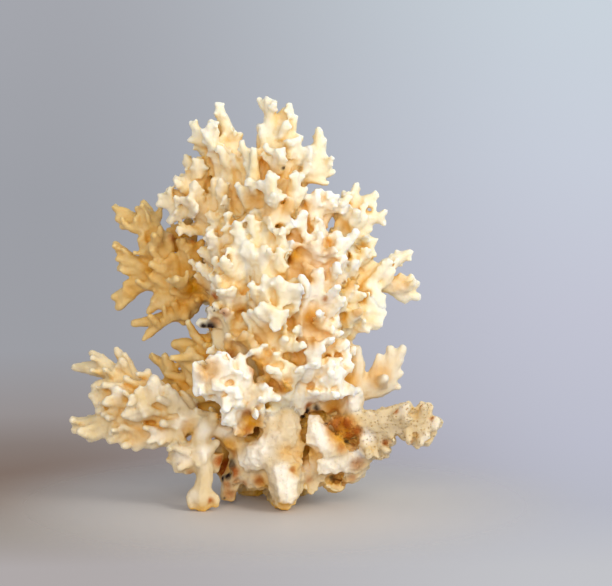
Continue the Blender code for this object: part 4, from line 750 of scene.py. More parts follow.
def lay_lobes(skeleton, end, heading, radius, tilt=0.0):
    """The three small blunt lobes that a finger ends in, side by side in the plane of the fan."""
    thick = min(THICKEST_LOBE, max(THINNEST_LOBE, radius * 0.66))
    for lean in (-1, 0, 1):
        side = sideways(heading, tilt + luck.gauss(0, 0.4))
        out = (heading + side * (lean * luck.uniform(0.6, 1.1) + luck.uniform(-0.2, 0.2))).normalized()
        reach = luck.uniform(0.7, 1.3) * max(0.9, radius * 0.8)
        lay_run(skeleton, [end, end + out * reach], [thick, thick * 0.9])


def lay_nubs(skeleton, spots, radii):
    """Small teeth along both edges of the outer part of a run, and lobes on its tip."""
    walked = 0.0
    hand = 1
    for number, (start, end) in enumerate(zip(spots, spots[1:])):
        heading = (end - start).normalized()
        length = (end - start).length
        while walked < length:
            share = walked / length
            radius = radii[number] * (1 - share) + radii[number + 1] * share
            walked += NUB_SPACING * luck.uniform(0.6, 1.4)
            if number == 0 or radius > THICKEST_WITH_NUBS:
                continue
            hand = -hand
            side = sideways(heading, luck.gauss(0, 0.7)) * hand
            out = (side + heading * luck.uniform(0.3, 1.0)).normalized()
            thick = luck.uniform(0.8, 1.05)
            reach = radius + luck.uniform(0.4, 1.5)
            root = start.lerp(end, share)
            lay_run(skeleton, [root, root + out * reach], [thick * 1.3, thick * 0.85])
        walked -= length
    lay_lobes(skeleton, spots[-1], (spots[-1] - spots[-2]).normalized(), radii[-1])


bpy.ops.object.select_all(action="DESELECT")
skeleton = bpy.data.curves.new("skeleton", "CURVE")
skeleton.dimensions = "3D"
skeleton.bevel_depth = MM
skeleton.bevel_resolution = 2
skeleton.resolution_u = CURVE_STEPS
skeleton.use_fill_caps = True
for limb, runs in LIMBS.items():
    for run in runs:
        spots = [seen(*row[:3]) for row in run]
        radii = [row[3] for row in run]
        lay_run(skeleton, spots, radii)
        if limb not in SMOOTH_LIMBS:
            lay_nubs(skeleton, spots, radii)

# The core: older solid skeleton deep between the limbs, long since grown over by their fingers. It fills the
# middle of the colony, so that no light comes through there.
CORE = [
    [(-6, 38, 9, 6.6), (-6.5, 60, 11, 6.8), (-8.5, 80, 12, 6.4), (-9, 101, 9, 5.8), (-9, 112, 6.5, 4.2)],
    [(5, 38, 10, 6.6), (6.5, 60, 13, 6.8), (6.5, 80, 14, 6.4), (6, 100, 11, 5.8), (4, 112, 8.5, 4.2)],
    [(17, 42, 8, 6.6), (19, 62, 9, 6.4), (21, 80, 9, 5.8), (21, 92, 7, 4.6)],
    [(-12, 44, 6, 6.2), (-18, 56, 6, 5.2), (-19, 72, 5, 4.8), (-20, 84, 5, 4.6), (-22, 98, 4, 3.8)],
    [(-9, 66, 14, 5.2), (-2, 67, 16, 5.2), (5, 68, 15, 5.2), (12, 68, 14, 5.2)],
    [(-8, 92, 12, 5), (0, 93, 14, 4.8), (7, 92, 11, 4.6)],
    [(-10, 40, 12, 5.6), (0, 39, 13, 5.6), (10, 41, 12, 5.6), (20, 41, 9, 5)],
    [(-40, 33, 5, 5), (-50, 36, 5, 5), (-58, 38, 4, 3.6)],
    [(-34, 40, -6, 3), (-28, 47, -3, 3.4), (-22, 52, -2, 3.4)],
    [(0, 18, 12, 6), (0, 28, 11, 6), (0.6, 38, 11, 5.6)],
    [(-1, 19, 13.5, 5), (-1.5, 30, 13.5, 5), (-1, 38, 12, 5)],
]
for run in CORE:
    lay_run(skeleton, [seen(*row[:3]) for row in run], [row[3] for row in run])
del tips[-len(CORE):]      # its ends lie deep inside, so they are no tips

# Sprigs: small ivory fingers on the front of the limbs, each placed as the photo shows it, by (across, up)
# of its root and of its tip, and its radius, in mm. They grew out of the limbs that the eye sees there.
SMOOTH_BELOW = 37.0        # mm, sprigs of the old low skeleton and of the left arms carry no teeth
SMOOTH_LEFT_OF = -29.0
SPRIG_RISE = 1.8           # mm that a sprig's tip stands nearer to the viewer than its root, at the least
MOST_RISE = 5.0
SPRIG_CLEARANCE = 1.0      # mm that its tip stands before the limb behind it
ROOT_DEPTH = 0.4           # mm that its root lies inside the limb
TIP_ROUND = 0.8            # mm that the rounding adds to its tip
SPRIGS = [
    (-24, 76, -21, 81, 1.9), (-16, 74, -14.4, 77.6, 1.6), (-11.5, 86, -17, 92, 1.7), (-9, 86, -7, 90, 1.5),
    (-21, 89.5, -23.6, 95, 1.5), (-13, 91, -11.6, 97.5, 1.8), (3, 72, 1.6, 81, 2.2),
    (4, 73, 6.2, 78.6, 1.8), (3, 67, -4.6, 71.6, 2.0), (2, 67, -0.6, 63.8, 1.6),
    (14, 75.6, 15.5, 83.4, 1.7), (11, 75, 11.6, 79, 1.5), (11.6, 83, 12.2, 96, 2.4),
    (16, 88, 16.3, 98, 1.3), (20, 86.6, 16.2, 91, 1.2), (23, 89, 24, 95, 2.4), (26.8, 81, 28.6, 90, 1.5),
    (28.4, 89, 27, 95.4, 1.4), (27, 73, 28, 80, 1.7), (22, 71, 23, 76, 1.9), (26.6, 64, 27.4, 69.6, 1.8),
    (18, 59.6, 24.4, 61.6, 1.4), (14.4, 49, 15.4, 57.4, 2.2), (20, 43, 19, 50.6, 2.6),
    (22.6, 42, 23.4, 48, 1.8), (4, 52, -1.4, 50.4, 1.5), (1, 47.6, -3.2, 48.6, 1.4),
    (8, 43.6, 9, 48.4, 1.5), (-7, 57.4, -10.6, 57, 1.5), (-6, 55.4, -9, 54.6, 1.3), (-20, 46, -20, 53, 2.0),
    (-23, 48, -23.6, 52.6, 1.4), (-17, 47, -16.4, 52, 1.5), (-28, 41, -29, 48.6, 1.7),
    (-26, 44, -27, 47.4, 1.3), (-14, 44, -12, 47.6, 1.4), (-16, 38, -13.6, 41.4, 1.6),
    (-1, 109, -1.6, 118.4, 2.4), (0, 112.4, 2.6, 110, 1.4), (7, 110.6, 7.4, 119, 1.7),
    (-12.4, 109, -13, 114, 1.4), (-11, 113, -8.2, 106.6, 1.2), (-5, 102.6, -8.8, 105, 1.4),
    (-5, 102.6, -5.4, 106.2, 1.4), (-4, 101.6, -1.4, 103, 1.4), (-12.6, 92, -13.6, 101, 2.0),
    (-17, 106, -20.6, 114, 1.8), (10, 98.6, 10, 105.4, 1.6), (10, 99, 7.4, 102, 1.2),
    (4.6, 100.4, 4.8, 105.4, 1.1), (2.8, 94, 3.2, 99.6, 1.3), (15, 107.6, 15.4, 113.4, 1.5),
    (19, 108, 19.6, 112.8, 1.4), (12.4, 108.6, 10.6, 111.6, 1.3), (21, 108.6, 23, 111.6, 1.3),
    (15, 99, 15, 103.4, 1.2), (28, 97.6, 28, 102.6, 1.7), (11, 122, 12.6, 127.4, 1.9),
    (5, 125, 6, 131, 2.0), (2.6, 132, 4, 138, 1.7), (8, 126, 9, 132, 1.5), (-24, 130.6, -23.4, 137, 2.2),
    (-28, 117.6, -28.6, 124.4, 1.8), (-25, 117, -26.4, 122.4, 1.6), (-8.4, 116, -7.6, 128, 2.0),
    (7.6, 92.4, 5.8, 95, 1.1), (-3, 70, -3, 80, 2.6), (-7.4, 60, -5, 67, 1.8), (9, 61, 9.4, 70, 2.2),
    (19.6, 101, 21.4, 106, 1.3), (32, 86, 34.6, 89.6, 1.4), (-56, 37, -57.6, 42, 1.9),
    (-43.4, 37, -44, 45, 2.8), (-41, 38, -38.6, 42.6, 1.7), (-46, 36, -49, 33, 2.2),
    (-45, 33, -48, 31, 1.6), (-37, 33, -37, 40, 2.6), (-51, 32, -54, 34, 1.5), (-59, 28, -60, 24, 1.2),
    (-57, 33, -63, 31.4, 1.7), (-42, 25, -45, 26.6, 1.7), (-42, 24, -46.6, 21.4, 1.5),
    (-40, 23, -42, 20.8, 1.5), (-28, 31, -35, 30.4, 1.3), (-34, 29, -36.4, 26, 1.2),
    (-27, 31, -25.4, 14, 1.7), (-31, 18, -35.6, 19.4, 1.7), (-31, 14, -35.6, 12, 1.4),
    (-29, 16, -28, 12.6, 1.1), (-16, 29, -16, 34, 2.1), (-18, 38, -18.4, 33.4, 1.3),
    (-14, 42, -13.4, 38, 1.5), (44, 30.6, 48.6, 35, 2.0), (53, 30, 54.4, 35.4, 1.8),
    (57, 29, 59.4, 30, 2.0), (56, 28, 59, 26.6, 1.7), (53, 26, 55.4, 23.6, 2.0), (53, 25, 52.8, 20.4, 1.6),
    (48.6, 26, 48.6, 21, 1.5), (38, 23, 41, 18, 1.5), (41, 25, 43.4, 21.8, 1.4), (35.6, 19, 37.6, 16, 1.4),
    (33, 21, 34, 16, 1.7), (28.6, 33, 28.4, 40, 2.4), (20.6, 28, 20.8, 31.4, 1.0), (26, 28, 26, 31, 1.2),
    (-33, 70.4, -32.6, 66.4, 2.2), (-40, 84, -39.4, 88, 1.8), (-45, 79, -44.6, 83.4, 1.8),
    (-38, 92, -38.4, 96.4, 1.4), (-34, 92, -33.4, 96, 1.3), (-31, 90, -30.4, 94, 1.3),
    (-42, 76, -44.6, 72, 1.7), (-46, 92, -45, 94.4, 1.5), (-50, 100, -51, 103.6, 1.5)
]

node_names = list(LIMBS)
corners = []
triangles = []
owners = []
for number, name in enumerate(node_names):
    node_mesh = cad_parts[name].data
    first = len(corners)
    corners += [vertex.co.copy() for vertex in node_mesh.vertices]
    for face in node_mesh.polygons:
        triangles.append([first + corner for corner in face.vertices])
        owners.append(number)
node_tree = BVHTree.FromPolygons(corners, triangles)
owners = np.array(owners)


def inside_outline(spot):
    """Whether the eye sees a spot, in metres, inside the outline of the solids."""
    return node_tree.ray_cast(EYE * MM, (spot - EYE * MM).normalized())[0] is not None


def hit_from_eye(tree, across, up):
    """Where the sight line at (across, up) first meets a shape, or None."""
    return tree.ray_cast(EYE * MM, (seen(across, up, 0.0) - EYE).normalized())[0]


def front_at(across, up):
    """How far towards the viewer the solids stand where the eye looks at (across, up), or None."""
    place = hit_from_eye(node_tree, across, up)
    return None if place is None else -place.y / MM


for across, up, tip_across, tip_up, radius in SPRIGS:
    toward = front_at(across, up)
    if toward is None:
        continue
    tip_toward = toward + SPRIG_RISE
    tip_front = front_at(tip_across, tip_up)
    if tip_front is not None:
        tip_toward = min(max(tip_toward, tip_front + SPRIG_CLEARANCE), toward + MOST_RISE)
    along = (seen(tip_across, tip_up, 0) - seen(across, up, 0)).normalized()
    root = seen(across, up, toward - ROOT_DEPTH)
    tip = seen(tip_across, tip_up, tip_toward) - along * TIP_ROUND
    spots = [root, root.lerp(tip, 0.35), tip]
    radii = [radius * 1.25, radius, radius * 0.85]
    lay_run(skeleton, spots, radii)
    if tip_up > SMOOTH_BELOW and tip_across > SMOOTH_LEFT_OF:
        lay_nubs(skeleton, spots, radii)

# The canopy: short ivory fingers that grew up and outwards all over the limbs, with small teeth along both
# edges. They keep clear of each other and of what is before them, and stay inside the outline the eye sees.
FINGER_SPACING = 3.9       # mm
FINGER_SEED = 11
FINGER_TRIES = 9000
SHORTEST_FINGER = 2.2      # mm
STUBBY_FINGER = 3.0
LONGEST_FINGER = 8.0
THINNEST_FINGER = 1.0      # mm, radius
THICKEST_FINGER = 1.5
THICKEST_LIMB = 10.0       # mm, on a limb thicker than this the fingers grow no longer
THIN_LIMB = 0.003          # metres, where the far side of a limb isn't found
FINGER_STRAY = 0.28        # how much a finger strays from the common direction
TOOTH_SPACING = 1.3        # mm
FAR_OFF = 9.0              # metres, where no finger stands yet
FAN_FOOT = Vector((3.0, 4.0, 8.0))       # mm, the fingers grow away from here
BARE_BELOW = 20.0          # mm, the foot of the colony carries none
BARE_LIMBS = ("holdfast", "left_stilt", "right_blade", "low_right_arm")

areas = []
for face in triangles:
    first, second, third = (corners[corner] for corner in face)
    areas.append((second - first).cross(third - first).length)
areas = np.array(areas)
chooser = np.random.default_rng(FINGER_SEED)
picks = chooser.choice(len(triangles), FINGER_TRIES, p=areas / areas.sum())
run_tips = np.array(tips) * MM
standing = np.full((FINGER_TRIES, 3), FAR_OFF)
for number, pick in enumerate(picks):
    first, second, third = (corners[corner] for corner in triangles[pick])
    low_share, high_share = sorted(chooser.random(2))
    stray = Vector(chooser.normal(size=3)) * FINGER_STRAY
    stout = chooser.uniform(0.6, 1.0)
    root = first * low_share + second * (high_share - low_share) + third * (1 - high_share)
    normal = (second - first).cross(third - first).normalized()
    name = node_names[owners[pick]]
    if root.z < BARE_BELOW * MM or name in BARE_LIMBS:
        continue
    if np.linalg.norm(standing - np.array(root), axis=1).min() < FINGER_SPACING * MM:
        continue
    if np.linalg.norm(run_tips - np.array(root), axis=1).min() < 0.8 * FINGER_SPACING * MM:
        continue
    across_limb = node_tree.ray_cast(root - normal * 0.3 * MM, -normal)[3]
    thickness = min(THICKEST_LIMB, (across_limb or THIN_LIMB) / MM)
    outwards = (root / MM - FAN_FOOT).normalized()
    grow = (outwards + normal * 0.5 + stray).normalized()
    length = min(LONGEST_FINGER, max(STUBBY_FINGER, thickness * stout))
    thick = min(THICKEST_FINGER, max(THINNEST_FINGER, thickness * 0.2))
    ahead = node_tree.ray_cast(root + normal * MM + grow * 0.5 * MM, grow)[3]
    if ahead is not None:
        length = min(length, ahead / MM - 1.0)
    if length < SHORTEST_FINGER:
        continue
    if inside_outline(root) and not inside_outline(root + grow * (length + thick) * MM):
        length *= 0.45
        if length < SHORTEST_FINGER or not inside_outline(root + grow * length * MM):
            continue
    standing[number] = root
    start = root / MM - normal * 0.8
    bend = start + grow * length * 0.55 + normal * 0.7
    end = start + grow * (length + 0.8) + normal * 0.6
    lay_run(skeleton, [start, bend, end], [thick * 1.3, thick, thick * 0.95])
    if name in SMOOTH_LIMBS:
        continue
    tilt = chooser.normal() * 0.4
    lay_lobes(skeleton, end, grow, thick, tilt)
    for step in range(int(length / TOOTH_SPACING)):
        knob = start.lerp(end, (step + 1.2) / (length / TOOTH_SPACING + 1.2))
        side = sideways(grow, tilt) * (-1) ** step
        out = (side + grow * 0.7).normalized()
        lay_run(skeleton, [knob, knob + out * thick * chooser.uniform(1.2, 2.0)], [0.85, 0.7])

colony = bpy.data.objects.new("colony", skeleton)
bpy.context.scene.collection.objects.link(colony)
bpy.context.view_layer.objects.active = colony
colony.select_set(True)
bpy.ops.object.convert(target="MESH")
colony = bpy.context.object
shape = bmesh.new()
shape.from_mesh(colony.data)
for block in SLABS:
    block_corners = [shape.verts.new(seen(*corner) * MM) for corner in block]
    hull = bmesh.ops.convex_hull(shape, input=block_corners)
    inside = [item for item in hull["geom_interior"] if isinstance(item, bmesh.types.BMVert)]
    bmesh.ops.delete(shape, geom=inside, context="VERTS")
shape.to_mesh(colony.data)
shape.free()


def work(kind, **settings):
    """Add a modifier to the active object and apply it."""
    bpy.ops.object.modifier_add(type=kind)
    modifier = bpy.context.object.modifiers[-1]
    for name, value in settings.items():
        setattr(modifier, name, value)
    bpy.ops.object.modifier_apply(modifier=modifier.name)


def lumps(name, size):
    """Cloudy unevenness with lumps of a size in mm."""
    unevenness = bpy.data.textures.new(name, "CLOUDS")
    unevenness.noise_scale = size * MM
    unevenness.noise_depth = 1
    return unevenness


work("REMESH", mode="VOXEL", voxel_size=SKIN_CELL * MM)
work("SMOOTH", factor=0.5, iterations=3)
work("DISPLACE", strength=-THICKEN * MM, mid_level=0.0)
work("SMOOTH", factor=0.5, iterations=1)


def points_of(mesh):
    """The mesh's points as an array."""
    points = np.empty(len(mesh.vertices) * 3)
    mesh.vertices.foreach_get("co", points)
    return points.reshape(-1, 3)


def edges_of(mesh):
    """The mesh's edges as pairs of point numbers."""
    pairs = np.empty(len(mesh.edges) * 2, int)
    mesh.edges.foreach_get("vertices", pairs)
    return pairs.reshape(-1, 2)


def spread(values, pairs, rounds):
    """Blur values along the skin."""
    count = len(values)
    meeting = np.bincount(pairs.ravel(), minlength=count)
    for _ in range(rounds):
        total = np.bincount(pairs[:, 0], values[pairs[:, 1]], count)
        total += np.bincount(pairs[:, 1], values[pairs[:, 0]], count)
        values = (values + total) / (1 + meeting)
    return values


# Weathering: hollows and pits worn where the eye sees them, by (across, up, radius, depth) in mm, swellings
# and grain everywhere, and a crumbling, pitted surface on the old base and the low right arm.
HOLLOWS = [
    (-18.5, 13, 3.6, 4.5), (-17.5, 10, 2.4, 3.5), (-20.5, 9, 2, 2.5), (23, 7.4, 3.2, 3.5),
    (20.6, 8.8, 2, 2.5), (-8.5, 30, 3.6, 3.0), (-6, 26, 3, 2.0), (6, 88.6, 3.0, 3.5), (8.6, 91, 2.0, 3.0),
    (13.6, 66.5, 3.0, 1.4), (-17, 53, 2.6, 2.0), (7.4, 11.4, 1.8, 1.2), (5.9, 11.8, 0.9, 1.2),
    (40, 21.5, 1.2, 1.4), (-6, 7.4, 2.6, 1.8), (-1.5, 43, 2.2, 2.0), (3, 41.4, 2.2, 2.0),
    (-14, 5.6, 1.2, 1.2), (-17, 3, 1.0, 1.0), (18.2, 74, 1.1, 1.4)
]
CRACK_RADIUS = 1.0
CRACK_DEPTH = 1.6
CRACK = [
    (17.4, 29.4), (18.6, 28.6), (20, 27.6), (21.4, 26.4), (22.8, 25), (24.2, 23.6), (25.4, 22.2),
    (26.4, 20.8), (27, 19.8), (10, 26), (10.2, 28), (10.6, 30), (11, 32), (12, 34), (14, 35.4), (16, 36)
]
HOLLOWS += [(across, up, CRACK_RADIUS, CRACK_DEPTH) for across, up in CRACK]
HOLLOWS += [(26.6 + 1.5 * step, 14.4 - 0.1 * step, 0.7, 0.9) for step in range(5)]  # pits along the ledge
CRUMBLES_BELOW = 36        # mm up, the surface starts to crumble below this
CRUMBLES_RIGHT_OF = -19    # mm across
CRUMBLE_FADE_UP = 8        # mm over which it comes in
CRUMBLE_FADE_ACROSS = 4
CRUMBLE_STEPS = 10

skin = colony.data
points = points_of(skin)
pairs = edges_of(skin)
skin_tree = BVHTree.FromPolygons(points.tolist(), [tuple(face.vertices) for face in skin.polygons])
normals = np.empty(len(points) * 3)
skin.vertices.foreach_get("normal", normals)
normals = normals.reshape(-1, 3)
sunk = np.zeros(len(points))
for across, up, radius, depth in HOLLOWS:
    place = hit_from_eye(skin_tree, across, up)
    if place is None:
        continue
    distance = np.linalg.norm(points - np.array(place), axis=1) / (radius * MM)
    sunk = np.maximum(sunk, depth * np.clip(1 - distance, 0, 1) ** 0.7)
points -= normals * spread(sunk, pairs, 1)[:, None] * MM
skin.vertices.foreach_set("co", points.ravel())
skin.update()

low_down = np.clip((CRUMBLES_BELOW - points[:, 2] / MM) / CRUMBLE_FADE_UP, 0, 1)
not_left = np.clip((points[:, 0] / MM - CRUMBLES_RIGHT_OF) / CRUMBLE_FADE_ACROSS, 0, 1)
rough = low_down * not_left
crumbling = colony.vertex_groups.new(name="crumbling")
for weight in range(1, CRUMBLE_STEPS + 1):
    chosen = np.nonzero(np.round(rough * CRUMBLE_STEPS) == weight)[0]
    crumbling.add(chosen.tolist(), weight / CRUMBLE_STEPS, "REPLACE")
pitting = bpy.data.textures.new("pitting", "VORONOI")
pitting.noise_scale = 2.2 * MM
pitting.distance_metric = "DISTANCE"
work("DISPLACE", texture=lumps("swellings", 5.0), strength=0.8 * MM, mid_level=0.5)
work("DISPLACE", texture=lumps("knobs", 2.2), strength=0.6 * MM, mid_level=0.5)
work("DISPLACE", texture=lumps("crumbs", 3.4), strength=1.5 * MM, mid_level=0.5, vertex_group="crumbling")
work("DISPLACE", texture=pitting, strength=0.9 * MM, mid_level=0.6, vertex_group="crumbling")
work("DISPLACE", texture=lumps("grain", 1.2), strength=0.26 * MM, mid_level=0.5)

# The flat cut of the foot, where the colony was cut off: what reaches below the floor goes, and the cut is
# filled flat.
shape = bmesh.new()
shape.from_mesh(colony.data)
cut = bmesh.ops.bisect_plane(shape, geom=shape.verts[:] + shape.edges[:] + shape.faces[:],
                             plane_co=(0, 0, 0), plane_no=(0, 0, -1), clear_outer=True)
rim = [item for item in cut["geom_cut"] if isinstance(item, bmesh.types.BMEdge)]
bmesh.ops.holes_fill(shape, edges=rim, sides=0)
bmesh.ops.triangulate(shape, faces=[face for face in shape.faces if len(face.verts) > 4])
shape.to_mesh(colony.data)
shape.free()
bpy.ops.object.shade_smooth()

# Marks on the skin, each a value from 0 to 1 at every point: pale at the tips, honey in the shaded arms
# (partly stain, partly painted shade), chalk on the base (partly painted highlights), and stains dabbed on
# where the eye sees them, as (across, up, radius, strength) in mm, which are partly painted shade and shadow
# in cavities, cracks and gaps.
skin = colony.data
points = points_of(skin)
pairs = edges_of(skin)
skin_faces = [tuple(face.vertices) for face in skin.polygons]
skin_tree = BVHTree.FromPolygons(points.tolist(), skin_faces)
owner = owners[np.array([node_tree.find_nearest(point)[2] for point in points])]

TIP_REACH = 3.4            # mm
tip_tree = KDTree(len(tips))
for number, tip in enumerate(tips):
    tip_tree.insert(tip * MM, number)
tip_tree.balance()
away = np.array([tip_tree.find(point)[2] for point in points])
tip_mark = np.clip(1 - away / (TIP_REACH * MM), 0, 1)


def mark_by_limb(table, rounds):
    """A mark that covers whole limbs and fades at their forks."""
    return spread(np.array([table.get(name, 0.0) for name in node_names])[owner], pairs, rounds)


def dab(spots):
    """A mark made of round dabs, each laid where the eye sees the skin."""
    mark = np.zeros(len(points))
    for across, up, radius, strength in spots:
        place = hit_from_eye(skin_tree, across, up)
        if place is None:
            continue
        distance = np.linalg.norm(points - np.array(place), axis=1) / (radius * MM)
        mark = np.maximum(mark, strength * np.clip(1.6 - 1.3 * distance, 0, 1))
    return mark


# Honey by limb: partly honey stain and partly painted shade on the arms that stand away from the light.
HONEY_STAIN_AND_SHADE_OF = {"upper_left_arm": 1.0, "low_left_fan": 0.75, "left_shoulder": 0.2, "centre_left_limb": 0.1}
# Grey of age by limb: partly real age and partly painted shade on the outer limbs, where the light falls
# off.
AGE_AND_SHADE_OF = {"holdfast": 0.4, "left_stilt": 0.6, "low_left_arm": 0.6, "low_right_arm": 0.9, "right_blade": 0.5,
          "upper_left_arm": 0.3, "left_shoulder": 0.2, "low_left_fan": 0.2}
POROUS_OF = {"holdfast": 0.2, "low_right_arm": 1.0}
# Amber dabs: partly honey stains, partly painted shade, such as the shaded band under the top of the front
# foot and the recesses at the root of the left arm.
AMBER_STAIN_AND_SHADE_DABS = [
    (-30, 78, 6.0, 1.0), (-33, 84, 4, 0.8), (-33, 97, 5.0, 0.9), (-29, 93, 3.0, 0.8), (-38, 88, 3, 0.6),
    (-24, 73, 3.4, 0.9), (-34, 71, 4.0, 0.7), (-6, 50, 5.0, 0.8), (-2, 44, 4.0, 0.9), (4, 41, 4.0, 0.9),
    (-12, 58, 5.0, 0.7), (-18, 56, 4.0, 0.7), (13.5, 66.5, 5.0, 0.9), (14, 59, 3.0, 0.8), (7, 90, 4.6, 1.0),
    (12, 82, 4.0, 0.6), (-9, 30, 5.0, 0.9), (-12, 24, 4, 0.8), (-17, 20, 4, 0.8), (-18.5, 12.5, 6, 1.0),
    (25, 25, 6.5, 1.0), (21, 35, 4, 0.9), (-8.4, 29, 5, 1.0), (14, 18, 3, 0.6), (-3, 62, 4, 0.5),
    (-8, 110, 4.0, 0.7), (-3, 106, 4.0, 0.5), (5, 107, 4.0, 0.6), (-16, 112, 4, 0.4), (4, 18.4, 3.4, 0.45),
    (9, 18, 3.4, 0.5), (14, 17.6, 3, 0.6), (10, 22, 2.6, 0.3), (28, 80, 3.5, 0.7), (27, 44, 4.0, 0.7),
    (38, 46, 5.0, 0.5), (30, 69, 3.0, 0.6), (-18.5, 93, 3, 0.8), (19, 92, 3.0, 0.6),
    (-12.5, 69.5, 3.4, 0.8), (45, 80, 5, 0.4), (-46, 84, 4, 0.7), (-52, 77, 4, 0.5), (-31, 27, 4, 0.4),
    (-50, 24, 4, 0.4), (-24, 48, 5, 0.6), (-36, 42, 4, 0.6), (23, 7, 5, 0.6), (12, 86, 3.4, 0.6),
    (12, 90, 3.4, 0.5), (12.4, 94, 3, 0.4), (-4, 7, 3, 0.7), (25, 27, 6, 0.8), (8, 12, 3, 0.5),
    (26, 100, 3, 0.5), (-46, 95, 3, 0.5)
]
# Brown dabs: partly rusty stains, partly painted shade in the dark cavity left of the front foot, in the
# cracks and in the hollows.
BROWN_STAIN_AND_SHADE_DABS = [
    (5.4, 87.8, 1.4, 0.6), (18.2, 73.6, 1.0, 0.9), (13.5, 66, 2.0, 0.5), (14, 59, 1.4, 0.5),
    (-22, 74.6, 1.8, 0.9), (-24.5, 76.5, 1.4, 0.6), (-37, 96, 2.0, 0.7), (-30, 95, 1.6, 0.7),
    (-12.5, 69.5, 1.4, 0.6), (-8, 48, 2.0, 0.4), (-16, 53.4, 2.2, 0.7), (-1.5, 43, 1.6, 0.6),
    (2, 41.4, 2.0, 0.6), (-9, 32, 3.0, 0.7), (23, 7.5, 2.8, 0.7), (-18.5, 12.5, 4.8, 1.0),
    (21, 27.5, 3.6, 0.8), (25.5, 28, 3.6, 0.9), (27.5, 24, 3.0, 0.9), (29, 21, 2, 0.7),
    (24, 19.6, 2.0, 0.5), (40, 21.5, 1.4, 1.0), (44, 33, 1.0, 1.0), (57, 30.5, 1.0, 1.0),
    (53, 35, 1.0, 0.9), (50, 22, 1.0, 0.8), (-16.5, 3, 2.4, 0.6), (-17.5, 6.4, 2, 0.6),
    (-11, 6.6, 1.6, 0.5), (-23.5, 0.5, 1.2, 1.0), (6.2, 11.6, 1.2, 0.8), (12.4, 8, 1.6, 0.5),
    (-5.5, 8, 2.4, 0.7), (30, 14, 3.0, 0.5), (28, 9, 2.0, 0.4), (-21.5, 66, 2.5, 0.5),
    (-18.5, 68.5, 2.5, 0.5), (-31, 11, 1.6, 0.4), (-15, 11, 2.4, 0.9), (-20, 15, 2.6, 0.9),
    (23, 30, 2.6, 0.7), (29.4, 26, 2.4, 0.9), (22, 33.6, 3, 0.5), (12, 35, 2, 0.8), (-7, 27, 3, 0.6),
    (-10, 26, 2.6, 0.6), (-15, 18, 2, 0.5), (-14, 7.6, 1.6, 0.6)
]
# Black dabs: a few dark spots, and painted shadow in the cavities and gaps between limbs and along the
# crack.
DARK_STAIN_AND_SHADOW_DABS = [
    (-23.5, 63.6, 2.4, 1.0), (-26, 63.9, 1.5, 1.0), (3.2, 121.3, 1.0, 0.9), (3.2, 108.5, 0.5, 0.9),
    (-22.6, 71, 0.6, 0.9), (-22, 69.5, 0.5, 0.9), (-20, 70, 0.6, 0.8), (-18.5, 68.6, 0.5, 0.8),
    (10.2, 31, 1.2, 1.0), (11.6, 33, 1.6, 1.0), (15, 34, 1.6, 0.9), (10, 27, 0.6, 0.8),
    (-17.2, 9.6, 1.9, 1.0), (-16, 14, 2.4, 0.8), (-19, 8.6, 1.4, 1.0), (20.6, 8.8, 1.3, 0.8),
    (26, 22, 1.0, 0.9), (22.4, 25.4, 0.8, 0.8), (18.6, 28.6, 0.8, 0.8), (-18.4, 1.4, 0.6, 0.9)
]
# Chalk dabs: chalky patches on the old skeleton, laid partly as painted highlights where it catches the
# light.
CHALK_AND_HIGHLIGHT_PATCHES = [
    (4, 6, 4.6, 0.9), (2, 11, 3.6, 0.9), (5, 1, 3.4, 0.8), (-9, 16, 5, 0.9), (-5, 20, 4, 0.8),
    (-12, 14, 3, 0.8), (15, 27, 4.6, 1.0), (17, 22, 4.6, 1.0), (13.4, 31, 2.6, 1.0), (22, 21, 2.6, 0.9),
    (33, 24, 3.4, 1.0), (30, 17, 3.4, 0.8), (19, 13, 4.4, 0.8), (25, 13, 4, 0.7), (29, 36, 4.4, 0.9),
    (-26.4, 26, 3.4, 0.8), (-26, 18, 3, 0.8), (-34, 17, 4.4, 0.7), (-34, 29, 3, 0.6), (-44, 42, 4.4, 0.5),
    (-43, 24, 4, 0.6), (-57, 40, 2.4, 0.6), (-30, 2, 3, 0.4), (46, 34, 3, 0.5), (58, 29, 3, 0.5),
    (55, 23, 2.4, 0.5), (0, 24, 3, 0.4), (-18, 27, 4, 0.7), (12, 13, 2.4, 0.6)
]
# The chalk mark carries painted highlights; the age, honey and stain marks carry painted shade as well.
tint_marks = {
    "chalk": spread(dab(CHALK_AND_HIGHLIGHT_PATCHES), pairs, 5),
    "tip": spread(tip_mark, pairs, 2),
    "honey": mark_by_limb(HONEY_STAIN_AND_SHADE_OF, 30),
    "old": mark_by_limb(AGE_AND_SHADE_OF, 14),
    "porous": mark_by_limb(POROUS_OF, 10),
    "amber": spread(dab(AMBER_STAIN_AND_SHADE_DABS), pairs, 6),
    "brown": spread(dab(BROWN_STAIN_AND_SHADE_DABS), pairs, 2),
    "soot_and_shadow": dab(DARK_STAIN_AND_SHADOW_DABS),
}


# Sea-bleached coral skeleton: aragonite, dry and matt, a little see-through at the thin tips, ivory mottled
# with the hollow tint, and pores about a millimetre apart. In the nooks that other skeleton closes in,
# painted shade turns it honey and then deep amber, standing for the warm light bounced there. Old skeleton
# greys and turns to chalk; the grey is partly painted shade on the outer limbs, and the chalk is partly
# painted highlights. Stains lie over it in patches: amber with a golden edge, rusty brown with a golden
# edge, and black; many of them are painted shade and shadow in cavities, cracks and gaps.
CLOUD_SIZE = 9.09          # mm, broad unevenness of the tint
PATCH_SIZE = 2.381         # mm, patches of a stain
GRAIN_SIZE = 1.111         # mm
PORE_SPACING = 1.25        # mm
PORE_RIM = 0.36            # shares of the spacing, from the middle of a pore
PORE_FLOOR = 0.1
PIT_DEPTH = 0.0006         # metres
GRAIN_DEPTH = 0.0004
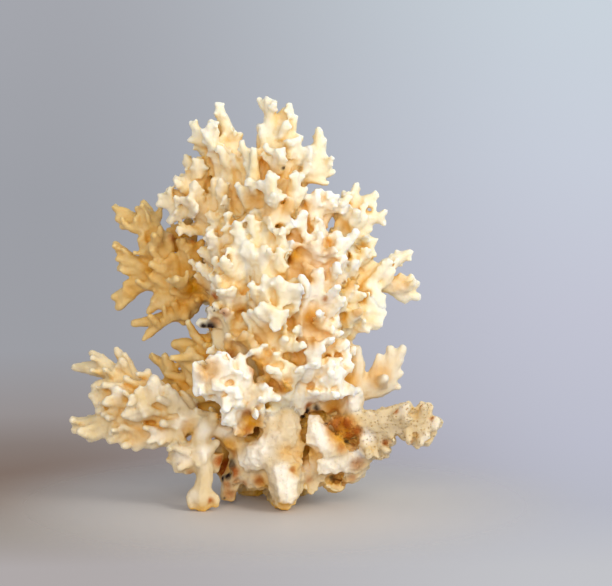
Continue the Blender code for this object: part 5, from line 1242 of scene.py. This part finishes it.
# The nook tint is painted shade: it reads how near other skeleton comes.
NOOK_SHADE_REACH = 0.009         # metres, how near other skeleton makes a nook
LIGHT_DEPTH = 0.0025       # metres that light goes into the stone
# The honey tint is partly stain and partly painted shade on the left arms.
HONEY_STAIN_AND_SHADE = "#E2BA70"
AGED_AND_SHADED = "#C9AE82"
CHALK_AND_HIGHLIGHT = "#F7F0E4"
# Painted amber shade for the deepest nooks, standing for warm light bounced there.
DEEP_NOOK_SHADE = "#E8AC2C"
AMBER_STAIN_AND_SHADE = "#CE8E0C"
AMBER_STAIN_AND_SHADE_EDGE = "#E4BE72"
RUST_STAIN_AND_SHADE = "#9C4600"
RUST_STAIN_AND_SHADE_EDGE = "#D6A04C"
OPEN_PORE = "#B98F50"
SOOT_AND_SHADOW = "#1E0805"


def coral_skin(name, body, tip, mottle_and_nook_shade, roughness):
    """Coral skeleton material in the tints of one part of the colony."""
    stone = new_material(name)
    place = {"Vector": add_node(stone, "ShaderNodeTexCoord").outputs["Object"]}
    marks = {}
    for mark in tint_marks:
        marks[mark] = add_node(stone, "ShaderNodeAttribute", attribute_name=mark).outputs["Fac"]
    noises = []
    for size, detail, harshness in ((CLOUD_SIZE, 3.0, 0.6), (PATCH_SIZE, 4.0, 0.7), (GRAIN_SIZE, 3.0, 0.65)):
        values = {"Scale": 1 / (size * MM), "Detail": detail, "Roughness": harshness}
        noises.append(add_node(stone, "ShaderNodeTexNoise", values, place).outputs["Fac"])
    clouds, patches, grain = noises
    pores = add_node(stone, "ShaderNodeTexVoronoi", {"Scale": 1 / (PORE_SPACING * MM), "Randomness": 0.85},
                     place)
    pit = add_node(stone, "ShaderNodeMapRange", {"From Min": PORE_RIM, "From Max": PORE_FLOOR},
                   {"Value": pores.outputs["Distance"]}).outputs["Result"]
    open_pores = add_node(stone, "ShaderNodeMath", links={0: pit, 1: marks["porous"]}, operation="MULTIPLY",
                          use_clamp=True).outputs["Value"]
    # Painted shade: the tint turns to the hollow tint, then to deep amber, where other skeleton closes in.
    nook_shade = add_node(stone, "ShaderNodeAmbientOcclusion", {"Distance": NOOK_SHADE_REACH}, samples=6).outputs["AO"]
    nook_shades = []
    for starts, ends in ((0.92, 0.5), (0.56, 0.1)):
        values = {"From Min": starts, "From Max": ends}
        nook_shades.append(add_node(stone, "ShaderNodeMapRange", values, {"Value": nook_shade}).outputs["Result"])
    half_shut_shade, shut_shade = nook_shades
    mottled = add_node(stone, "ShaderNodeMath", {1: 1.6, 2: -0.55}, {0: clouds}, operation="MULTIPLY_ADD",
                       use_clamp=True)
    colour = add_node(stone, "ShaderNodeMix", {"A": paint(body), "B": paint(mottle_and_nook_shade)},
                      {"Factor": mottled.outputs["Value"]}, data_type="RGBA").outputs["Result"]

    # Tints laid over it in turn: where, broken up by what, by how much, starting from what, and the tint
    layers = (
        (marks["tip"], None, 1.1, 0.0, tip),
        (marks["honey"], clouds, 1.3, 0.0, HONEY_STAIN_AND_SHADE),
        # painted shade in the half shut nooks
        (half_shut_shade, clouds, 0.9, 0.4, mottle_and_nook_shade),
        # grey of age, partly painted shade on the outer limbs
        (marks["old"], None, 0.75, 0.0, AGED_AND_SHADED),
        # chalk, partly painted highlights
        (marks["chalk"], None, 0.9, 0.0, CHALK_AND_HIGHLIGHT),
        # painted amber shade in the deepest nooks
        (shut_shade, clouds, 0.8, 0.55, DEEP_NOOK_SHADE),
        # stain dabs, partly painted shade and shadow in cavities, cracks and gaps
        (marks["amber"], None, 0.8, 0.0, AMBER_STAIN_AND_SHADE_EDGE),
        (marks["brown"], None, 0.9, 0.0, RUST_STAIN_AND_SHADE_EDGE),
        (marks["amber"], patches, 1.2, 0.3, AMBER_STAIN_AND_SHADE),
        (open_pores, patches, 3.0, -1.0, OPEN_PORE),
        (marks["brown"], patches, 3.6, -0.7, RUST_STAIN_AND_SHADE),
        (marks["soot_and_shadow"], patches, 3.0, 0.0, SOOT_AND_SHADOW),
    )
    for where, pattern, factor, extra, tint in layers:
        source = where if pattern is None else pattern
        amount = add_node(stone, "ShaderNodeMath", {1: factor, 2: extra}, {0: source},
                          operation="MULTIPLY_ADD", use_clamp=True)
        if pattern is not None:
            amount = add_node(stone, "ShaderNodeMath", links={0: where, 1: amount.outputs["Value"]},
                              operation="MULTIPLY", use_clamp=True)
        laid = add_node(stone, "ShaderNodeMix", {"B": paint(tint)},
                        {"Factor": amount.outputs["Value"], "A": colour}, data_type="RGBA")
        colour = laid.outputs["Result"]

    grained = add_node(stone, "ShaderNodeBump", {"Strength": 0.4, "Distance": GRAIN_DEPTH},
                       {"Height": grain})
    depth = add_node(stone, "ShaderNodeMath", {1: 0.8, 2: 0.12}, {0: marks["porous"]},
                     operation="MULTIPLY_ADD", use_clamp=True)
    dimple = add_node(stone, "ShaderNodeMath", links={0: pit, 1: depth.outputs["Value"]},
                      operation="MULTIPLY")
    pitted = add_node(stone, "ShaderNodeBump", {"Strength": 0.8, "Distance": PIT_DEPTH},
                      {"Height": dimple.outputs["Value"], "Normal": grained.outputs["Normal"]}, invert=True)
    shader = add_node(stone, "ShaderNodeBsdfPrincipled",
                      {"Roughness": roughness, "IOR": 1.53, "Specular IOR Level": 0.2,
                       "Subsurface Weight": 0.45, "Subsurface Radius": (1.0, 0.85, 0.5),
                       "Subsurface Scale": LIGHT_DEPTH},
                      {"Base Color": colour, "Normal": pitted.outputs["Normal"]})
    add_node(stone, "ShaderNodeOutputMaterial", links={"Surface": shader.outputs["BSDF"]})
    return stone


# The stones of the colony: name, tint of the body, of the tips and of the hollows, and roughness. The hollow
# tint serves the mottle and the painted shade in the nooks. The pale stone is a lighter copy of the ivory,
# painted light for the limbs that stand in the light; the honey stone is a darker, warmer copy for the
# shaded left arms, partly honey stain and partly painted shade.
STONES = {
    "chalky_base": coral_skin("weathered_chalky_limestone", "#DCCDB4", "#EFE6D8", "#D8BB86", 0.75),
    "chalky_stilt": coral_skin("chalky_aragonite", "#E0D0B0", "#E8DDC6", "#D8B87C", 0.7),
    "ivory_coral": coral_skin("sun_bleached_aragonite", "#EEE3CA", "#F4EEDF", "#E9D096", 0.55),
    "honey_coral": coral_skin("honey_stained_and_shaded_aragonite", "#E0C78E", "#E9D8B0", "#DCAF57", 0.5),
    "pale_coral": coral_skin("lit_pale_aragonite", "#F1ECE0", "#F8F5EE", "#EBD6AC", 0.55),
}


def islands(count, links):
    """Number of the island that each of `count` things is on, joined by links."""
    root = np.arange(count)
    while True:
        low = np.minimum(root[links[:, 0]], root[links[:, 1]])
        lower = root.copy()
        np.minimum.at(lower, root[links[:, 0]], low)
        np.minimum.at(lower, root[links[:, 1]], low)
        lower = lower[lower]
        lower = lower[lower]
        if (lower == root).all():
            return root
        root = lower


# Parting at the forks: every face goes to the CAD node it lies on. Crumbs go to the limb round them, and
# each limb is closed inside the stone where it is parted from the next.
CRUMB = 1200               # faces, a patch of fewer goes to the limb round it
CRUMB_ROUNDS = 4
NEAREST_SPOTS = 12
CLEARLY_OUT = 0.05         # mm
shape = bmesh.new()
shape.from_mesh(skin)
beside = np.array([[edge.link_faces[0].index, edge.link_faces[1].index] for edge in shape.edges
                   if len(edge.link_faces) == 2])
shape.free()
face_count = len(skin_faces)
face_owner = owner[np.array([face[0] for face in skin_faces])]
# Flakes that hang loose beside the colony are left out
whole = islands(face_count, beside)
on_colony = whole == np.bincount(whole).argmax()
# A crumb goes to the limb that most of its neighbours belong to
for _ in range(CRUMB_ROUNDS):
    same = beside[face_owner[beside[:, 0]] == face_owner[beside[:, 1]]]
    patch = islands(face_count, same)
    sizes = np.bincount(patch, minlength=face_count)
    border = beside[patch[beside[:, 0]] != patch[beside[:, 1]]]
    small = sizes < CRUMB
    before = face_owner.copy()
    near = np.concatenate([border, border[:, ::-1]])
    near = near[small[patch[near[:, 0]]]]
    votes = np.zeros((face_count, len(node_names)), np.int32)
    np.add.at(votes, (patch[near[:, 0]], before[near[:, 1]]), 1)
    winner = votes.argmax(axis=1)
    asked = small[patch] & (votes.max(axis=1)[patch] > 0)
    face_owner[asked] = winner[patch[asked]]


axis_tree = KDTree(len(axis_spots))
for number, spot in enumerate(axis_spots):
    axis_tree.insert(spot, number)
axis_tree.balance()


def axis_below(point):
    """Number of the axis spot of the run that a point of the skin lies on."""
    nearest = axis_tree.find_n(point, NEAREST_SPOTS)
    return min(nearest, key=lambda found: found[2] - axis_radii[found[1]])[1]


def spanning_tree(numbers):
    """The axis spots linked as one tree with short links: the parent of each, and its depth in the tree."""
    spots = np.array([axis_spots[number] for number in numbers])
    distance = np.full(len(numbers), np.inf)
    link = np.zeros(len(numbers), int)
    parent = {}
    depth = {}
    waiting = np.ones(len(numbers), bool)
    current = 0
    parent[numbers[0]] = None
    depth[numbers[0]] = 0
    waiting[0] = False
    while waiting.any():
        gap = np.linalg.norm(spots - spots[current], axis=1)
        nearer = gap < distance
        distance[nearer] = gap[nearer]
        link[nearer] = current
        current = int(np.where(waiting, distance, np.inf).argmin())
        waiting[current] = False
        parent[numbers[current]] = numbers[link[current]]
        depth[numbers[current]] = depth[numbers[link[current]]] + 1
    return parent, depth


def tree_path(parent, depth, start, end):
    """The spots from one to another along the tree."""
    going = [start]
    coming = [end]
    while going[-1] != coming[-1]:
        if depth[going[-1]] >= depth[coming[-1]]:
            going.append(parent[going[-1]])
        else:
            coming.append(parent[coming[-1]])
    return going + coming[-2::-1]


def outside_skin(spot):
    """Whether a spot lies clearly outside the skin of the colony."""
    place, normal, _, distance = skin_tree.find_nearest(spot)
    return (spot - place).dot(normal) > 0 and distance > CLEARLY_OUT * MM


def samples(corners):
    """Spots all over a triangle."""
    first, second, third = (vertex.co for vertex in corners)
    middle = (first + second + third) / 3
    return [middle, (second + third) / 2, (third + first) / 2,
            (middle + first) / 2, (middle + second) / 2, (middle + third) / 2]


def close_rim(shape, rim):
    """Close the open loops of a limb inside the stone, along the axis of the runs that they cross.

    A face that would show outside the skin is left out.
    """
    waiting = dict.fromkeys(rim)
    while waiting:
        loop = [waiting.popitem()[0]]
        for edge in loop:
            for vertex in edge.verts:
                for other in vertex.link_edges:
                    if other in waiting:
                        del waiting[other]
                        loop.append(other)
        below = {vertex: axis_below(vertex.co) for edge in loop for vertex in edge.verts}
        numbers = sorted(set(below.values()))
        parent, depth = spanning_tree(numbers)
        inner = {number: shape.verts.new(axis_spots[number]) for number in numbers}
        for edge in loop:
            corner = next(corner for corner in edge.link_faces[0].loops if corner.edge == edge)
            first, second = corner.vert, corner.link_loop_next.vert
            new_faces = [(second, first, inner[below[first]])]
            path = tree_path(parent, depth, below[first], below[second])
            for start, end in zip(path, path[1:]):
                new_faces.append((second, inner[start], inner[end]))
            for corners in new_faces:
                if not any(outside_skin(spot) for spot in samples(corners)):
                    shape.faces.new(corners)
    loose = [vertex for vertex in shape.verts if not vertex.link_faces]
    bmesh.ops.delete(shape, geom=loose, context="VERTS")


face_numbers = np.arange(face_count)
for number, name in enumerate(node_names):
    chosen = face_numbers[(face_owner == number) & on_colony]
    own_faces = [skin_faces[face] for face in chosen]
    used = np.unique(np.array([corner for face in own_faces for corner in face]))
    new_number = np.zeros(len(points), int)
    new_number[used] = np.arange(len(used))
    mesh = bpy.data.meshes.new(name + "_coral")
    new_faces = [[int(new_number[corner]) for corner in face] for face in own_faces]
    mesh.from_pydata(points[used].tolist(), [], new_faces)
    for mark, values in tint_marks.items():
        layer = mesh.attributes.new(mark, "FLOAT", "POINT")
        layer.data.foreach_set("value", values[used].astype(np.float32))
    limb = bpy.data.objects.new(name + "_coral", mesh)
    bpy.context.scene.collection.objects.link(limb)
    shape = bmesh.new()
    shape.from_mesh(mesh)
    for face in shape.faces:
        face.smooth = True
    # Where two open loops touch in one point, each gets a point of its own
    for vertex in list(shape.verts):
        open_edges = [edge for edge in vertex.link_edges if edge.is_boundary]
        if len(open_edges) > 2:
            bmesh.utils.vert_separate(vertex, open_edges)
    rim = [edge for edge in shape.edges if edge.is_boundary]
    for edge in rim:
        edge.smooth = False
    shape.normal_update()
    close_rim(shape, rim)
    shape.to_mesh(mesh)
    shape.free()
    mesh.materials.append(STONES[SLOTS[name]])
    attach(limb, "root")
    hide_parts(name)
bpy.data.objects.remove(colony, do_unlink=True)
